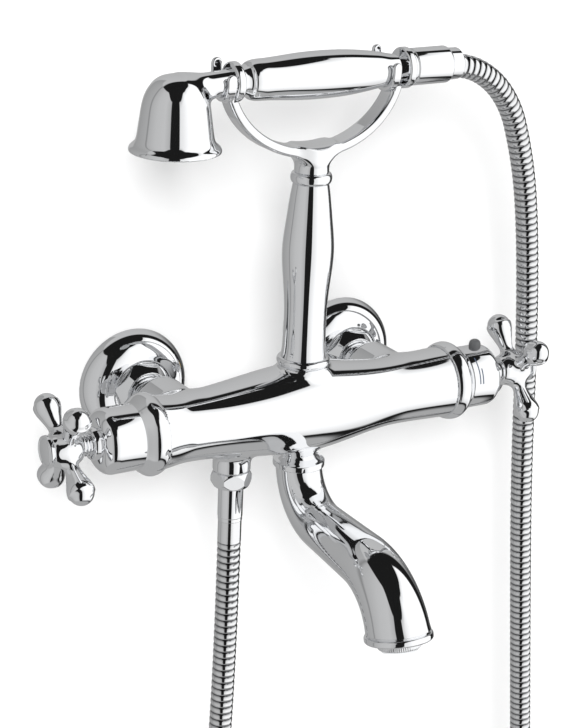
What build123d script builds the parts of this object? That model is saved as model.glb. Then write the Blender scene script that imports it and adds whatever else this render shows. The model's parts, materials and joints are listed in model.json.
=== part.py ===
from build123d import *
import os
from math import asin, cos, pi, radians, sin, sqrt, tan

os.makedirs("parts", exist_ok=True)

# Thermostatic bath mixer for a wall, all sizes in millimetres.
# X runs along the bar, the wall is the plane Y = 0, the room is at -Y and Z is up.
# The origin lies on the wall, halfway between the two inlets.

# Bar and its bores
axis_out = 78.0
left_end = 95.0
right_end = 99.0
bar_mid_r = 27.4
bar_waist_r = 19.8
bar_waist_x = 79.0
bar_end_r = 20.6
spigot_r = 17.5
spigot_length = 13.0
left_bore_r = 14.5
left_bore_depth = 41.5
right_bore_r = 15.0
right_bore_depth = 57.0
gallery_r = 8.0

# Inlets, wall unions and wall flanges
inlet_pitch = 150.0
arm_r = 11.8
arm_end_r = 19.3
arm_end_out = 17.0
arm_flare_out = 34.0
arm_bore_r = 9.0
arm_bore_depth = 28.0
arm_passage_r = 6.0
wall_thread_r = 10.48
wall_thread_length = 16.0
union_thread_r = 13.2
union_bore_r = 7.0
nut_flats = 28.8
nut_back = 5.0
nut_front = 21.8
tail_flange_r = 12.8
tail_flange_t = 2.6
washer_t = 1.5
thread_gap = 0.15
flange_r = 34.2
flange_depth = 14.0
flange_mouth_r = 19.2
flange_wall = 1.4
flange_web_at = 1.6

# Non-return valve in each arm
valve_seat_t = 4.0
valve_guide_t = 3.0
valve_head_t = 3.2
valve_stem_r = 1.8
valve_travel = 3.0

# Beads between the bar and the handle sleeves
bead_width = 8.75
bead_r = 24.6
bead_groove_r = 21.8

# Handle sleeves
sleeve_r = 19.5
sleeve_round = 8.0
sleeve_wall = 1.7
cover_boss_r = 9.5
left_sleeve_length = 28.0
right_sleeve_length = 29.5
turn_gap = 0.3
slide_gap = 0.05
running_gap = 0.05

# Cross handles
left_cross_out = 156.5
right_cross_out = 159.0
left_cross_turn = 37.4
right_cross_turn = 52.0
ball_out = 29.6
ball_r = 7.4
arm_waist_r = 3.9
arm_waist_out = 12.5
arm_flare = 6.5
hub_r = 9.8
hub_back = 7.5
hub_front = 9.8
hub_round = 2.2
cap_r = 9.5
cap_t = 3.2
stem_r = 6.4
stem_groove_r = 5.2
stem_rings = 3
neck_r = 7.0

# Flow cartridge on the left
spindle_r = 4.0
flow_disc_r = 12.0
disc_t = 4.0
headwork_flange_inset = 0.9
headwork_flange_t = 5.0
headwork_neck_r = 9.0
headwork_neck_length = 11.0

# Thermostatic cartridge on the right
thermostat_wall = 2.2
thermostat_floor_t = 3.0
regulator_travel = 0.8
piston_length = 5.0
stop_ring_t = 4.0
wax_r = 4.5
wax_length = 26.0
shuttle_t = 8.0
capsule_r = 8.0
capsule_length = 13.0
adjuster_r = 5.0

# Stop button on the right sleeve
button_r = 3.6
button_proud = 6.2
button_dome = 2.6
button_travel = 1.5
button_collar_r = 4.6
button_collar_t = 1.2
button_from_end = 19.0

# Hand shower rest on its column
column_foot_r = 16.0
column_foot_t = 5.0
column_top = 139.0
column_bead_r = 12.2
column_bead_t = 6.5
column_stud_r = 5.9
column_boss_r = 15.0
column_boss_top = 27.7
fork_post_r = 10.2
fork_half_span = 58.0
fork_drop = 48.0
fork_band = 6.0
fork_depth = 15.0
fork_blend = 1.9
left_saddle_inset = 0.5
right_saddle_inset = 8.0
saddle_width = 5.0
saddle_t = 3.4
saddle_gap = 0.5
right_saddle_grip_r = 10.0
back_prong_rise = 12.0
front_prong_rise = 5.2

# Hand shower
shower_z = 202.0
bell_at = -89.4
bell_top = 6.9
bell_rim_drop = 36.0
bell_rim_r = 26.0
bell_wall = 1.6
neck_tube_r = 7.8
neck_low_r = 6.9
neck_fall = 2.0
neck_reach = 12.0
core_overlap = 4.0
core_r = 6.6
core_bore_r = 5.2
shower_ring_r = 11.3
ring_from_saddle = 7.5
shower_ring_width = 8.7
grip_from_ring = 4.3
grip_to = 59.3
grip_r = 13.7
grip_end_r = 9.2
hose_thread_r = 9.6
hose_thread_length = 14.0
outlet_thread_length = 5.0
hose_nut_to = 97.5
hose_nut_mouth_r = 8.2
hose_nut_ring_r = 11.6
hose_nut_ring_width = 9.0
hose_nut_r = 10.7
spray_plate_t = 3.0
spray_plate_r = 21.4
spray_plate_low = -34.4
spray_post_r = 4.2
spray_holes = 14

# Spout
spout_top = -38.0
spout_collar_r = 15.8
spout_collar_t = 9.4
spout_rim_t = 4.0
spout_neck_r = 8.4
spigot_tube_r = 6.5
spigot_tube_bore = 4.0
spigot_top = -12.0
seal_from_top = (6.0, 11.5)
seal_r = 0.7
spout_start_r = 14.0
spout_end_r = 19.2
spout_wall = 2.4
first_bend_r = 33.4
first_bend_turn = 87.0
spout_straight = 44.0
spout_growth = 1.6
second_bend_r = 45.2
second_bend_turn = 72.0
spout_lip_r = 20.0
spout_lip_t = 4.6
aerator_r = 12.9
aerator_proud = 4.5
aerator_core_r = 10.6
aerator_length = 8.0

# Hose outlet and hose
outlet_at = -47.0
outlet_boss_r = 11.4
outlet_boss_end = -32.5
lower_nut_flats = 21.8
lower_nut_length = 10.0
lower_ferrule_r = 7.6
lower_ferrule_length = 22.4
ferrule_lip_t = 1.6
hose_r = 7.2
hose_valley_r = 6.5
hose_bore_r = 4.5
hose_ribs = 200


def placed(shape, axis="X", at=(0, 0, 0)):
    """Stands a shape that was turned about X on another axis and moves it to its place."""
    turns = {"X": Rot(0, 0, 0), "Y": Rot(0, 0, 90), "Z": Rot(0, -90, 0)}
    return Pos(*at) * turns[axis] * shape


def turned(points, axis="X", at=(0, 0, 0)):
    """A lathe part from a closed outline of (along, radius) points."""
    face = make_face(Polyline(*points, close=True))
    return placed(revolve(face, Axis.X), axis, at)


def ring(start, end, outer, inner=0.0, axis="X", at=(0, 0, 0)):
    """A plain turned ring or, without an inner radius, a plain turned bar."""
    return turned([(start, inner), (start, outer), (end, outer), (end, inner)], axis, at)


def curved(curve, axis="X", at=(0, 0, 0)):
    """A lathe part under one smooth outline, closed down to the axis."""
    foot = Polyline(curve @ 1, ((curve @ 1).X, 0), ((curve @ 0).X, 0), curve @ 0)
    return placed(revolve(make_face([curve, foot]), Axis.X), axis, at)


def hexagon(start, end, flats, axis="X", at=(0, 0, 0)):
    """A hexagon bar whose corners are turned down a little at both ends."""
    corner = flats / 2 / cos(radians(30))
    bar = extrude(Plane.YZ * RegularPolygon(flats / 2, 6, major_radius=False), end - start)
    slope = (corner - flats / 2) * 0.55
    edge = flats / 2 + 0.3
    limit = turned([
        (start, 0), (start, edge), (start + slope, corner + 0.1),
        (end - slope, corner + 0.1), (end, edge), (end, 0),
    ])
    return placed((Pos(start, 0, 0) * bar) & limit, axis, at)


def coil(radius, wire_r, turns, length, axis="X", at=(0, 0, 0)):
    """An open helical spring that stands on its seat and rises along the axis."""
    height = length - 2 * wire_r
    helix = Helix(pitch=height / turns, height=height, radius=radius)
    section = Plane(helix @ 0, z_dir=helix % 0) * Circle(wire_r)
    spring = sweep(section, path=helix, is_frenet=True)
    return placed(Rot(0, 90, 0) * Pos(0, 0, wire_r) * spring, axis, at)


def torus(along, middle_r, section_r, axis="X", at=(0, 0, 0)):
    """A sealing ring of round section."""
    return placed(Pos(along, 0, 0) * Rot(0, 90, 0) * Torus(middle_r, section_r), axis, at)


bar = (0, -axis_out, 0)
inlets = {"left": -inlet_pitch / 2, "right": inlet_pitch / 2}
arm_end = -arm_end_out
valve_from = arm_end - arm_bore_depth + 0.2
valve_to = arm_end - 0.2
bead_length = 2 * bead_width
outlet = (outlet_at, -axis_out, 0)
nipple_end = outlet_boss_end - outlet_thread_length
lip_low = nipple_end - washer_t - ferrule_lip_t
nut_low = outlet_boss_end - lower_nut_length
ferrule_low = nut_low - lower_ferrule_length
seal_seat_r = spigot_tube_r + slide_gap - 2 * seal_r - 0.05
seal_heights = [spigot_top - depth for depth in seal_from_top]
left_saddle_at = left_saddle_inset - fork_half_span
right_saddle_at = fork_half_span - right_saddle_inset
shower_ring_from = left_saddle_at + ring_from_saddle
grip_from = shower_ring_from + shower_ring_width + grip_from_ring
headwork_flange_r = spigot_r - headwork_flange_inset
left_sleeve_from = left_end + bead_length
left_sleeve_end = left_sleeve_from + left_sleeve_length
right_sleeve_from = right_end + bead_length + turn_gap
right_sleeve_end = right_sleeve_from + right_sleeve_length - turn_gap


def valve_body():
    """The cast bar with its bores, two inlet arms, column boss, spout neck and hose outlet."""
    outline = Spline(
        (-left_end, bar_end_r), (-bar_waist_x, bar_waist_r), (0, bar_mid_r),
        (bar_waist_x, bar_waist_r), (right_end, bar_end_r),
        tangents=[(1, -0.08), (1, 0), (1, 0), (1, 0), (1, 0.08)],
    )
    casting = curved(outline, "X", bar)
    for x in inlets.values():
        flare = Spline(
            (-axis_out, arm_end_r + 0.3), (-axis_out + 12, arm_end_r), (-axis_out + 26, arm_r + 2.4),
            (-arm_flare_out, arm_r), tangents=[(1, 0), (1, 0)],
        )
        flange = tail_flange_t + arm_end_out
        foot = Polyline(
            flare @ 1, (-flange, arm_r), (-flange, tail_flange_r), (arm_end, tail_flange_r),
            (arm_end, 0), (-axis_out, 0), flare @ 0,
        )
        casting += placed(revolve(make_face([flare, foot]), Axis.X), "Y", (x, 0, 0))
    casting += ring(-left_end - spigot_length, -left_end + 5, spigot_r, 0, "X", bar)
    casting += ring(right_end - 5, right_end + spigot_length, spigot_r, 0, "X", bar)
    casting += ring(0, column_boss_top, column_boss_r, 0, "Z", bar)
    casting += ring(spout_top + turn_gap, 0, spout_neck_r, 0, "Z", bar)
    casting += ring(outlet_boss_end, 0, outlet_boss_r, 0, "Z", outlet)
    casting += ring(nipple_end, outlet_boss_end, hose_thread_r, 0, "Z", outlet)
    left_floor = -left_end + left_bore_depth
    right_floor = right_end - right_bore_depth
    casting -= ring(-left_end - spigot_length, left_floor, left_bore_r, 0, "X", bar)
    casting -= ring(right_floor, right_end + spigot_length, right_bore_r, 0, "X", bar)
    casting -= ring(left_floor, right_floor, gallery_r, 0, "X", bar)
    casting -= ring(spout_top + turn_gap, 0, spigot_tube_r + slide_gap, 0, "Z", bar)
    casting -= ring(column_boss_top - 12, column_boss_top, column_stud_r + thread_gap, 0, "Z", bar)
    casting -= ring(nipple_end, 0, hose_bore_r + 0.5, 0, "Z", outlet)
    for x in inlets.values():
        casting -= ring(arm_end - arm_bore_depth, arm_end, arm_bore_r, 0, "Y", (x, 0, 0))
        casting -= ring(-axis_out, arm_end - arm_bore_depth, arm_passage_r, 0, "Y", (x, 0, 0))
    return casting


def wall_union(x):
    """Straight union: a wall thread, a wider thread for the nut, and a bore with a key."""
    seat = arm_end + washer_t
    body = turned([
        (seat, 0), (seat, union_thread_r), (0, union_thread_r),
        (0, wall_thread_r), (wall_thread_length, wall_thread_r), (wall_thread_length, 0),
    ], "Y", (x, 0, 0))
    return body - ring(seat, wall_thread_length, union_bore_r, 0, "Y", (x, 0, 0))


def union_nut(x):
    """Hexagon nut that pulls the arm's flange onto the washer and the union."""
    nut = hexagon(-nut_front, -nut_back, nut_flats, "Y", (x, 0, 0))
    shoulder = arm_end - tail_flange_t
    nut -= ring(shoulder, -nut_back, union_thread_r + thread_gap, 0, "Y", (x, 0, 0))
    return nut - ring(-nut_front, shoulder, arm_r + thread_gap, 0, "Y", (x, 0, 0))


def inlet_washer(x):
    """Flat sealing washer between a union and its arm."""
    return ring(arm_end, arm_end + washer_t, tail_flange_r, union_bore_r, "Y", (x, 0, 0))


def wall_flange(x):
    """Domed cover plate: a round shoulder at the wall, a rolled mouth and a seat on the union."""
    mouth = -flange_depth
    dome = Spline(
        (0, flange_r), (-5.5, flange_r - 1.0), (-10.5, flange_r - 4.8), (mouth + 0.4, flange_mouth_r + 5.2),
        (mouth, flange_mouth_r + 1.4), tangents=[(-1, 0), (0.1, -1)], tangent_scalars=[0.8, 0.8],
    )
    lip = ThreePointArc(dome @ 1, (mouth + 0.5, flange_mouth_r + 0.3), (mouth + 1.6, flange_mouth_r))
    inside = Spline(
        (mouth + 1.9, flange_mouth_r + 1.4), (mouth + 1.9, flange_mouth_r + 4.6), (-9.2, flange_r - 6.2),
        (-4.8, flange_r - 2.5), (0, flange_r - flange_wall), tangents=[(-0.1, 1), (1, 0)],
        tangent_scalars=[0.6, 0.6],
    )
    back = Line(lip @ 1, inside @ 0)
    foot = Line(inside @ 1, dome @ 0)
    shell = placed(revolve(make_face([dome, lip, back, inside, foot]), Axis.X), "Y", (x, 0, 0))
    web_r = flange_r - flange_wall - 0.3
    seat_r = union_thread_r + thread_gap
    web = ring(-flange_web_at - 1.6, -flange_web_at, web_r, seat_r, "Y", (x, 0, 0))
    return shell + web


def check_valve_housing(x):
    """Plastic cartridge of the non-return valve, with the seat of its poppet."""
    start, end = valve_from, valve_to
    housing = ring(start, end, arm_bore_r - 0.1, arm_bore_r - 1.6, "Y", (x, 0, 0))
    seat = ring(end - valve_seat_t, end, arm_bore_r - 1.0, 5.0, "Y", (x, 0, 0))
    guide = ring(start, start + valve_guide_t, arm_bore_r - 1.0, valve_stem_r + running_gap, "Y", (x, 0, 0))
    slots = PolarLocations(4.6, 3, 30)
    for place in slots:
        hole = Plane.XZ * place * Circle(1.6)
        guide -= Pos(x, start - 1, 0) * extrude(hole, -6)
    return housing + seat + guide


def check_valve_poppet(x):
    """Mushroom of the non-return valve, closed against its seat by the spring."""
    face = valve_to - valve_seat_t - turn_gap
    back = face - valve_head_t
    return turned([
        (valve_from - 1.0, 0), (valve_from - 1.0, valve_stem_r), (back, valve_stem_r), (back, 6.2),
        (face, 6.2), (face, 4.6), (face + 1.3, 3.9), (face + 1.3, 0),
    ], "Y", (x, 0, 0))


def check_valve_spring(x):
    """Spring on the poppet's stem, drawn at the length it has with the valve open."""
    seat = valve_from + valve_guide_t
    back = valve_to - valve_seat_t - turn_gap - valve_head_t
    length = back - valve_travel - turn_gap - seat
    return coil(3.4, 0.45, 5, length, "Y", (x, seat, 0))


def bead_ring(side, end):
    """Trim ring of two rounded beads that hides the joint between bar and sleeve."""
    half = bead_width / 2
    first = end
    arcs = []
    for k in range(2):
        a = first + k * bead_width
        crest = (a + half, bead_r)
        arcs.append(ThreePointArc((a, bead_groove_r), crest, (a + bead_width, bead_groove_r)))
    inner = spigot_r + 0.1
    foot = Polyline(arcs[1] @ 1, (end + bead_length, inner), (end, inner), arcs[0] @ 0)
    shape = revolve(make_face([*arcs, foot]), Axis.X)
    return placed(mirror(shape, Plane.YZ) if side < 0 else shape, "X", bar)


def flow_headwork():
    """Brass housing of the flow cartridge, hollow round its discs and spindle."""
    inner = -left_end + left_bore_depth
    face = -left_end - spigot_length
    neck = face - headwork_flange_t
    out = neck - headwork_neck_length
    shell_r = left_bore_r - 0.1
    body = turned([
        (inner, 0), (inner, shell_r), (face, shell_r), (face, headwork_flange_r),
        (neck, headwork_flange_r), (neck, headwork_neck_r), (out, headwork_neck_r), (out, 0),
    ], "X", bar)
    body -= ring(inner - 2 * disc_t - 6, inner, flow_disc_r + 0.3, 0, "X", bar)
    return body - ring(out, inner, spindle_r + running_gap, 0, "X", bar)


def flow_discs():
    """Fixed and turning ceramic discs, each with its water openings."""
    inner = -left_end + left_bore_depth
    fixed = ring(inner - disc_t, inner, flow_disc_r, 0, "X", bar)
    moving = ring(inner - 2 * disc_t, inner - disc_t, flow_disc_r, 0, "X", bar)
    for turn in (0, 180):
        port = Plane.YZ * (Rot(0, 0, turn) * Pos(0, 6.5) * Circle(2.6))
        cut = Pos(inner - 2 * disc_t - 1, -axis_out, 0) * extrude(port, 2 * disc_t + 2)
        fixed -= cut
        moving -= cut
    return fixed, moving


def flow_spindle():
    """Splined spindle from the turning disc to the cross handle."""
    inner = -left_end + left_bore_depth
    head = inner - 2 * disc_t
    tip = -left_cross_out - hub_front + 5.0
    return turned([
        (head, 0), (head, 9.0), (head - 4.5, 9.0), (head - 4.5, spindle_r),
        (tip, spindle_r), (tip, 0),
    ], "X", bar)


def left_sleeve():
    """Fixed bell cover on the left, with a low boss round the handle stem."""
    start, end = -left_sleeve_from, -left_sleeve_end
    boss = end - 1.5
    outer = turned_sleeve(start, end, sleeve_r, sleeve_round)
    outer += ring(boss, end + 2, cover_boss_r, 0, "X", bar)
    outer -= turned_sleeve(start, end + sleeve_wall, sleeve_r - sleeve_wall, sleeve_round - sleeve_wall)
    outer -= ring(boss - 1, end + 3, stem_r + turn_gap, 0, "X", bar)
    screw = ring(headwork_neck_r, sleeve_r + 1, 1.6, 0, "Z", (start - 6.0, -axis_out, 0))
    return outer - screw


def turned_sleeve(start, end, radius, corner_r):
    """Bar with a large round at its end, for the outside and the hollow of a sleeve."""
    way = 1 if end > start else -1
    shoulder = end - way * corner_r
    side = Line((start, radius), (shoulder, radius))
    corner = CenterArc((shoulder, radius - corner_r), corner_r, 0 if way > 0 else 90, 90)
    rest = Polyline((end, radius - corner_r), (end, 0), (start, 0), (start, radius))
    return placed(revolve(make_face([side, corner, rest]), Axis.X), "X", bar)


def cover_screw():
    """Grub screw that holds the left bell cover on the cartridge neck."""
    x = -left_sleeve_from - 6.0
    return ring(headwork_neck_r + 0.1, sleeve_r - 0.6, 1.5, 0, "Z", (x, -axis_out, 0))


def cross_arm():
    """One teardrop arm along Z: a flare in the hub, a waist and a ball at the tip."""
    root = Polyline((0, 0), (0, arm_flare), (arm_flare, arm_flare))
    swell = Spline(
        (arm_flare, arm_flare), (arm_waist_out, arm_waist_r), (0.5 * (arm_waist_out + ball_out), 5.5),
        (ball_out, ball_r), tangents=[(1, -1), (1, 0.02), (1, 0.3), (1, 0)],
    )
    ball = CenterArc((ball_out, 0), ball_r, 0, 90)
    foot = Line((ball_out + ball_r, 0), (0, 0))
    return placed(revolve(make_face([root, swell, ball, foot]), Axis.X), "Z")


def cross_handle(side, plane_x, turn, spindle_end):
    """Cast cross: a round hub, four teardrop arms and a blind bore for the spindle."""
    hub = Pos(0, 0, side * (hub_front - hub_back) / 2) * Cylinder(hub_r, hub_back + hub_front)
    hub = fillet(hub.edges().filter_by(GeomType.CIRCLE), hub_round)
    hub = Rot(0, 90, 0) * hub
    cross = hub
    for k in range(4):
        cross += Rot(90 * k, 0, 0) * cross_arm()
    cross = Rot(90 + turn, 0, 0) * cross
    cross = Pos(side * plane_x, -axis_out, 0) * cross
    back = side * (plane_x - hub_back)
    bore = ring(min(back, spindle_end), max(back, spindle_end), spindle_r + 0.02, 0, "X", bar)
    screw_end = side * (plane_x + hub_front)
    hole = ring(min(spindle_end, screw_end), max(spindle_end, screw_end), 2.1, 0, "X", bar)
    return cross - bore - hole


def handle_cap(side, plane_x):
    """Domed button that hides the handle screw."""
    face = plane_x + hub_front
    rim = Line((face, cap_r), (face + cap_t * 0.35, cap_r))
    dome = Spline(rim @ 1, (face + cap_t * 0.82, cap_r * 0.62), (face + cap_t, 0),
                  tangents=[(0.6, -1), (0, -1)])
    foot = Polyline((face + cap_t, 0), (face, 0), (face, cap_r))
    shape = revolve(make_face([rim, dome, foot]), Axis.X)
    shape -= ring(face, face + 1.2, 3.8)
    return placed(mirror(shape, Plane.YZ) if side < 0 else shape, "X", bar)


def handle_screw(side, plane_x, spindle_end):
    """Screw through the hub into the end of the spindle."""
    face = plane_x + hub_front
    start = abs(spindle_end)
    shape = ring(start, face, 2.0) + ring(face, face + 1.1, 3.6)
    return placed(mirror(shape, Plane.YZ) if side < 0 else shape, "X", bar)


def flow_stem():
    """Grooved collar between the left bell cover and its cross handle."""
    start = -left_cross_out + hub_back
    end = -left_sleeve_end + 1.0
    points = [(start, spindle_r + 0.02), (start, stem_r)]
    pitch = (end - 2.0 - start) / stem_rings
    for k in range(stem_rings):
        a = start + k * pitch
        points += [(a + pitch * 0.55, stem_r), (a + pitch * 0.65, stem_groove_r)]
        points += [(a + pitch * 0.9, stem_groove_r), (a + pitch, stem_r)]
    points += [(end, stem_r), (end, spindle_r + 0.02)]
    return turned(points, "X", bar)


thermostat_from = right_end - right_bore_depth
thermostat_face = right_end + spigot_length
thermostat_r = right_bore_r - 0.1
thermostat_inner_r = thermostat_r - thermostat_wall
neck_from = thermostat_face + headwork_flange_t
wax_from = thermostat_from + 12.0
wax_to = wax_from + wax_length
shuttle_from = wax_from + 2.0
capsule_from = wax_to + piston_length


def thermostat_housing():
    """Cartridge body of the thermostat: a ported tube, a flange and an adjuster neck."""
    body = turned([
        (thermostat_from, 0), (thermostat_from, thermostat_r), (thermostat_face, thermostat_r),
        (thermostat_face, headwork_flange_r + 0.5), (neck_from, headwork_flange_r + 0.5),
        (neck_from, headwork_neck_r), (neck_from + stop_ring_t, headwork_neck_r),
        (neck_from + stop_ring_t, 0),
    ], "X", bar)
    body -= ring(thermostat_from + thermostat_floor_t, thermostat_face - 8, thermostat_inner_r, 0, "X", bar)
    body -= ring(thermostat_from, thermostat_from + thermostat_floor_t, 6.0, 0, "X", bar)
    body -= ring(thermostat_face - 8, neck_from + stop_ring_t, adjuster_r + running_gap, 0, "X", bar)
    for x in (thermostat_from + 15, thermostat_from + 27):
        for turn in (0, 60, 120):
            port = Rot(turn, 0, 0) * Box(5, 4.6, 2 * thermostat_r + 2)
            body -= Pos(x, -axis_out, 0) * port
    return body


def regulating_shuttle():
    """Slide that opens the hot side as it closes the cold side, carried by the wax element."""
    outer = thermostat_inner_r - running_gap
    return ring(shuttle_from, shuttle_from + shuttle_t, outer, wax_r, "X", bar)


def wax_element():
    """Wax thermostat with its thin piston."""
    return turned([
        (wax_from, 0), (wax_from, wax_r), (wax_to, wax_r), (wax_to, 1.6),
        (capsule_from, 1.6), (capsule_from, 0),
    ], "X", bar)


def overtravel_capsule():
    """Spring capsule that gives way when the wax closes past its stop."""
    return ring(capsule_from, capsule_from + capsule_length, capsule_r, 0, "X", bar)


def return_spring():
    """Spring that pushes the shuttle back towards the adjuster."""
    seat = thermostat_from + thermostat_floor_t
    length = shuttle_from - regulator_travel - turn_gap - seat
    return coil(7.4, 0.9, 3, length, "X", (seat, -axis_out, 0))


def temperature_adjuster():
    """Adjuster spindle from the capsule to the cross handle, with a head inside the housing."""
    start = capsule_from + capsule_length + regulator_travel + turn_gap
    tip = right_cross_out + hub_front - 5.0
    return turned([
        (start, 0), (start, adjuster_r), (right_sleeve_from + 14, adjuster_r),
        (right_sleeve_from + 14, spindle_r), (tip, spindle_r), (tip, 0),
    ], "X", bar)


def stop_ring():
    """Plastic ring with the nib that the stop button meets at 38 degrees."""
    outer = sleeve_r - sleeve_wall - 0.6
    body = ring(neck_from, neck_from + stop_ring_t, outer, headwork_neck_r + 0.1, "X", bar)
    notch = Pos(neck_from + stop_ring_t / 2, -axis_out, outer) * Box(stop_ring_t + 1, 7, 5)
    return body - notch


button_x = right_sleeve_end - button_from_end
button_seat_r = 8.4


def temperature_sleeve():
    """Turning sleeve on the right, with an inner hub on the spindle and the button's hole."""
    start, end = right_sleeve_from, right_sleeve_end
    outer = turned_sleeve(start, end, sleeve_r, sleeve_round)
    outer += ring(end - 1, right_cross_out - hub_back, neck_r, 0, "X", bar)
    outer -= turned_sleeve(start, end - sleeve_wall, sleeve_r - sleeve_wall, sleeve_round - sleeve_wall)
    outer += ring(neck_from + stop_ring_t + turn_gap, end - 1, button_seat_r, 0, "X", bar)
    outer -= ring(neck_from, right_sleeve_from + 14, adjuster_r + 0.02, 0, "X", bar)
    outer -= ring(neck_from, right_cross_out, spindle_r + 0.02, 0, "X", bar)
    hole = ring(button_seat_r + 2, sleeve_r + 1, button_r + running_gap, 0, "Z", (button_x, -axis_out, 0))
    return outer - hole


def stop_button():
    """Domed safety button with a collar inside the sleeve that keeps it in."""
    top = sleeve_r + button_proud
    inside = sqrt((sleeve_r - sleeve_wall) ** 2 - button_collar_r ** 2) - 0.2
    shoulder = top - button_dome
    dome_r = (button_r ** 2 + button_dome ** 2) / (2 * button_dome)
    half = asin(button_r / dome_r) / 2
    side = Polyline(
        (inside - button_collar_t, 0), (inside - button_collar_t, button_collar_r),
        (inside, button_collar_r), (inside, button_r), (shoulder, button_r),
    )
    middle = (top - dome_r + dome_r * cos(half), dome_r * sin(half))
    dome = ThreePointArc((shoulder, button_r), middle, (top, 0))
    foot = Line((top, 0), (inside - button_collar_t, 0))
    return placed(revolve(make_face([side, dome, foot]), Axis.X), "Z", (button_x, -axis_out, 0))


def button_spring():
    """Spring under the button, drawn at its pressed length on the inner hub."""
    inside = sqrt((sleeve_r - sleeve_wall) ** 2 - button_collar_r ** 2) - 0.2 - button_collar_t
    length = inside - button_travel - turn_gap - button_seat_r
    return coil(3.0, 0.45, 3, length, "Z", (button_x, -axis_out, button_seat_r))


def column():
    """Vase-shaped post: a bead at its foot, a belly above its middle and a plain top."""
    foot_top = column_boss_top + column_foot_t
    bead = ThreePointArc(
        (column_boss_top, column_foot_r - 1.6), (column_boss_top + column_foot_t / 2, column_foot_r),
        (foot_top, column_foot_r - 1.6),
    )
    outline = Spline(
        (foot_top, 13.8), (45, 12.8), (58, 12.6), (78, 13.8), (99, 15.2), (118, 13.4), (column_top, 10.4),
        tangents=[(1, -0.25), (1, -0.2)],
    )
    step = Line(bead @ 1, outline @ 0)
    foot = Polyline(outline @ 1, (column_top, 0), (column_boss_top, 0), bead @ 0)
    post = placed(revolve(make_face([bead, step, outline, foot]), Axis.X), "Z", bar)
    post -= ring(column_boss_top, column_boss_top + 12, column_stud_r + thread_gap, 0, "Z", bar)
    return post - ring(column_top - 12, column_top, column_stud_r + thread_gap, 0, "Z", bar)


def column_studs():
    """Two threaded studs: body to column, and column to fork."""
    low = ring(column_boss_top - 11, column_boss_top + 11, column_stud_r, 0, "Z", bar)
    top = column_top + column_bead_t
    high = ring(column_top - 11, top + 5, column_stud_r, 0, "Z", bar)
    return Compound(children=[low, high])


def column_bead():
    """Rounded ring between column and fork."""
    end = column_top + column_bead_t
    bead = ThreePointArc(
        (column_top, column_bead_r - 1.9), ((column_top + end) / 2, column_bead_r),
        (end, column_bead_r - 1.9),
    )
    inner = column_stud_r + thread_gap
    foot = Polyline(bead @ 1, (end, inner), (column_top, inner), bead @ 0)
    return placed(revolve(make_face([bead, foot]), Axis.X), "Z", bar)


def saddle(x, inner_r):
    """U-shaped hook round the hand shower, its back prong taller than its front one."""
    outer_r = inner_r + saddle_t
    rises = {1: back_prong_rise, -1: front_prong_rise}
    shape = Circle(outer_r) - Circle(inner_r)
    shape -= Pos(0, outer_r) * Rectangle(4 * outer_r, 2 * outer_r)
    middle_r = inner_r + saddle_t / 2
    for way, rise in rises.items():
        shape += Pos(way * middle_r, rise / 2) * Rectangle(saddle_t, rise)
    hook = extrude(Plane.YZ * shape, saddle_width / 2, both=True)
    tips = [e for e in hook.edges().filter_by(Axis.Y) if e.center().Z > 1]
    hook = fillet(tips, saddle_width / 2 - 0.15)
    return Pos(x, -axis_out, shower_z) * hook


def fork_root(low):
    """Hollow-cornered web that spreads the post into the two arms of the fork."""
    edge = [(fork_post_r - 0.6, low), (fork_post_r + 1.2, low + 4.3), (fork_post_r + 7, low + 6.8)]
    right = ThreePointArc(*edge)
    left = ThreePointArc(*[(-x, z) for x, z in reversed(edge)])
    top = Line(right @ 1, left @ 0)
    foot = Line(left @ 1, right @ 0)
    return extrude(Plane.XZ * make_face([right, top, left, foot]), fork_depth / 2 - 0.8, both=True)


def fork():
    """Crescent fork on a round post, with a saddle at each end."""
    middle_z = shower_z + 3.8
    half = fork_band / 2
    outer = Ellipse(fork_half_span + half, fork_drop + half)
    inner = Ellipse(fork_half_span - half, fork_drop - half)
    left_inner = neck_tube_r + saddle_gap
    right_inner = right_saddle_grip_r + saddle_gap
    cut_z = shower_z - left_inner - saddle_t * 0.45
    band = Pos(0, middle_z) * (outer - inner)
    above = Pos(0, cut_z + 100) * Rectangle(300, 200)
    arms = extrude(Plane.XZ * (band - above), fork_depth / 2, both=True)
    arms = fillet(arms.edges().filter_by(GeomType.ELLIPSE), fork_blend)
    post_from = column_top + column_bead_t
    post_to = middle_z - fork_drop + 1.0
    post = Pos(0, 0, post_from) * Cylinder(
        fork_post_r, post_to - post_from, align=(Align.CENTER, Align.CENTER, Align.MIN))
    below = extrude(Plane.XZ * (Pos(0, middle_z) * inner), 40, both=True)
    post -= below
    post += fork_root(post_to - half - 5.5)
    casting = arms + post
    casting = Pos(0, -axis_out, 0) * casting
    casting += saddle(left_saddle_at, left_inner)
    casting += saddle(right_saddle_at, right_inner)
    clear = ring(left_saddle_at - 9, left_saddle_at + 9, left_inner, 0, "X", (0, -axis_out, shower_z))
    clear += ring(right_saddle_at - 9, right_saddle_at + 9, right_inner, 0, "X", (0, -axis_out, shower_z))
    casting -= clear
    stud = column_stud_r + thread_gap
    return casting - ring(post_from, post_from + 6, stud, 0, "Z", bar)


shower = (0, -axis_out, shower_z)
hose_tail = grip_to + hose_thread_length + washer_t
bell_axis = (bell_at, -axis_out, shower_z)


def shower_neck(ring_end_r, bell_end_r):
    """Round bar from the shower ring into the bell, a little lower and thinner at the bell."""
    near = Plane(origin=(shower_ring_from, -axis_out, shower_z), z_dir=(1, 0, 0)) * Circle(ring_end_r)
    far_x = bell_at + neck_reach
    far = Plane(origin=(far_x, -axis_out, shower_z - neck_fall), z_dir=(1, 0, 0)) * Circle(bell_end_r)
    return loft([far, near], ruled=True)


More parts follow.
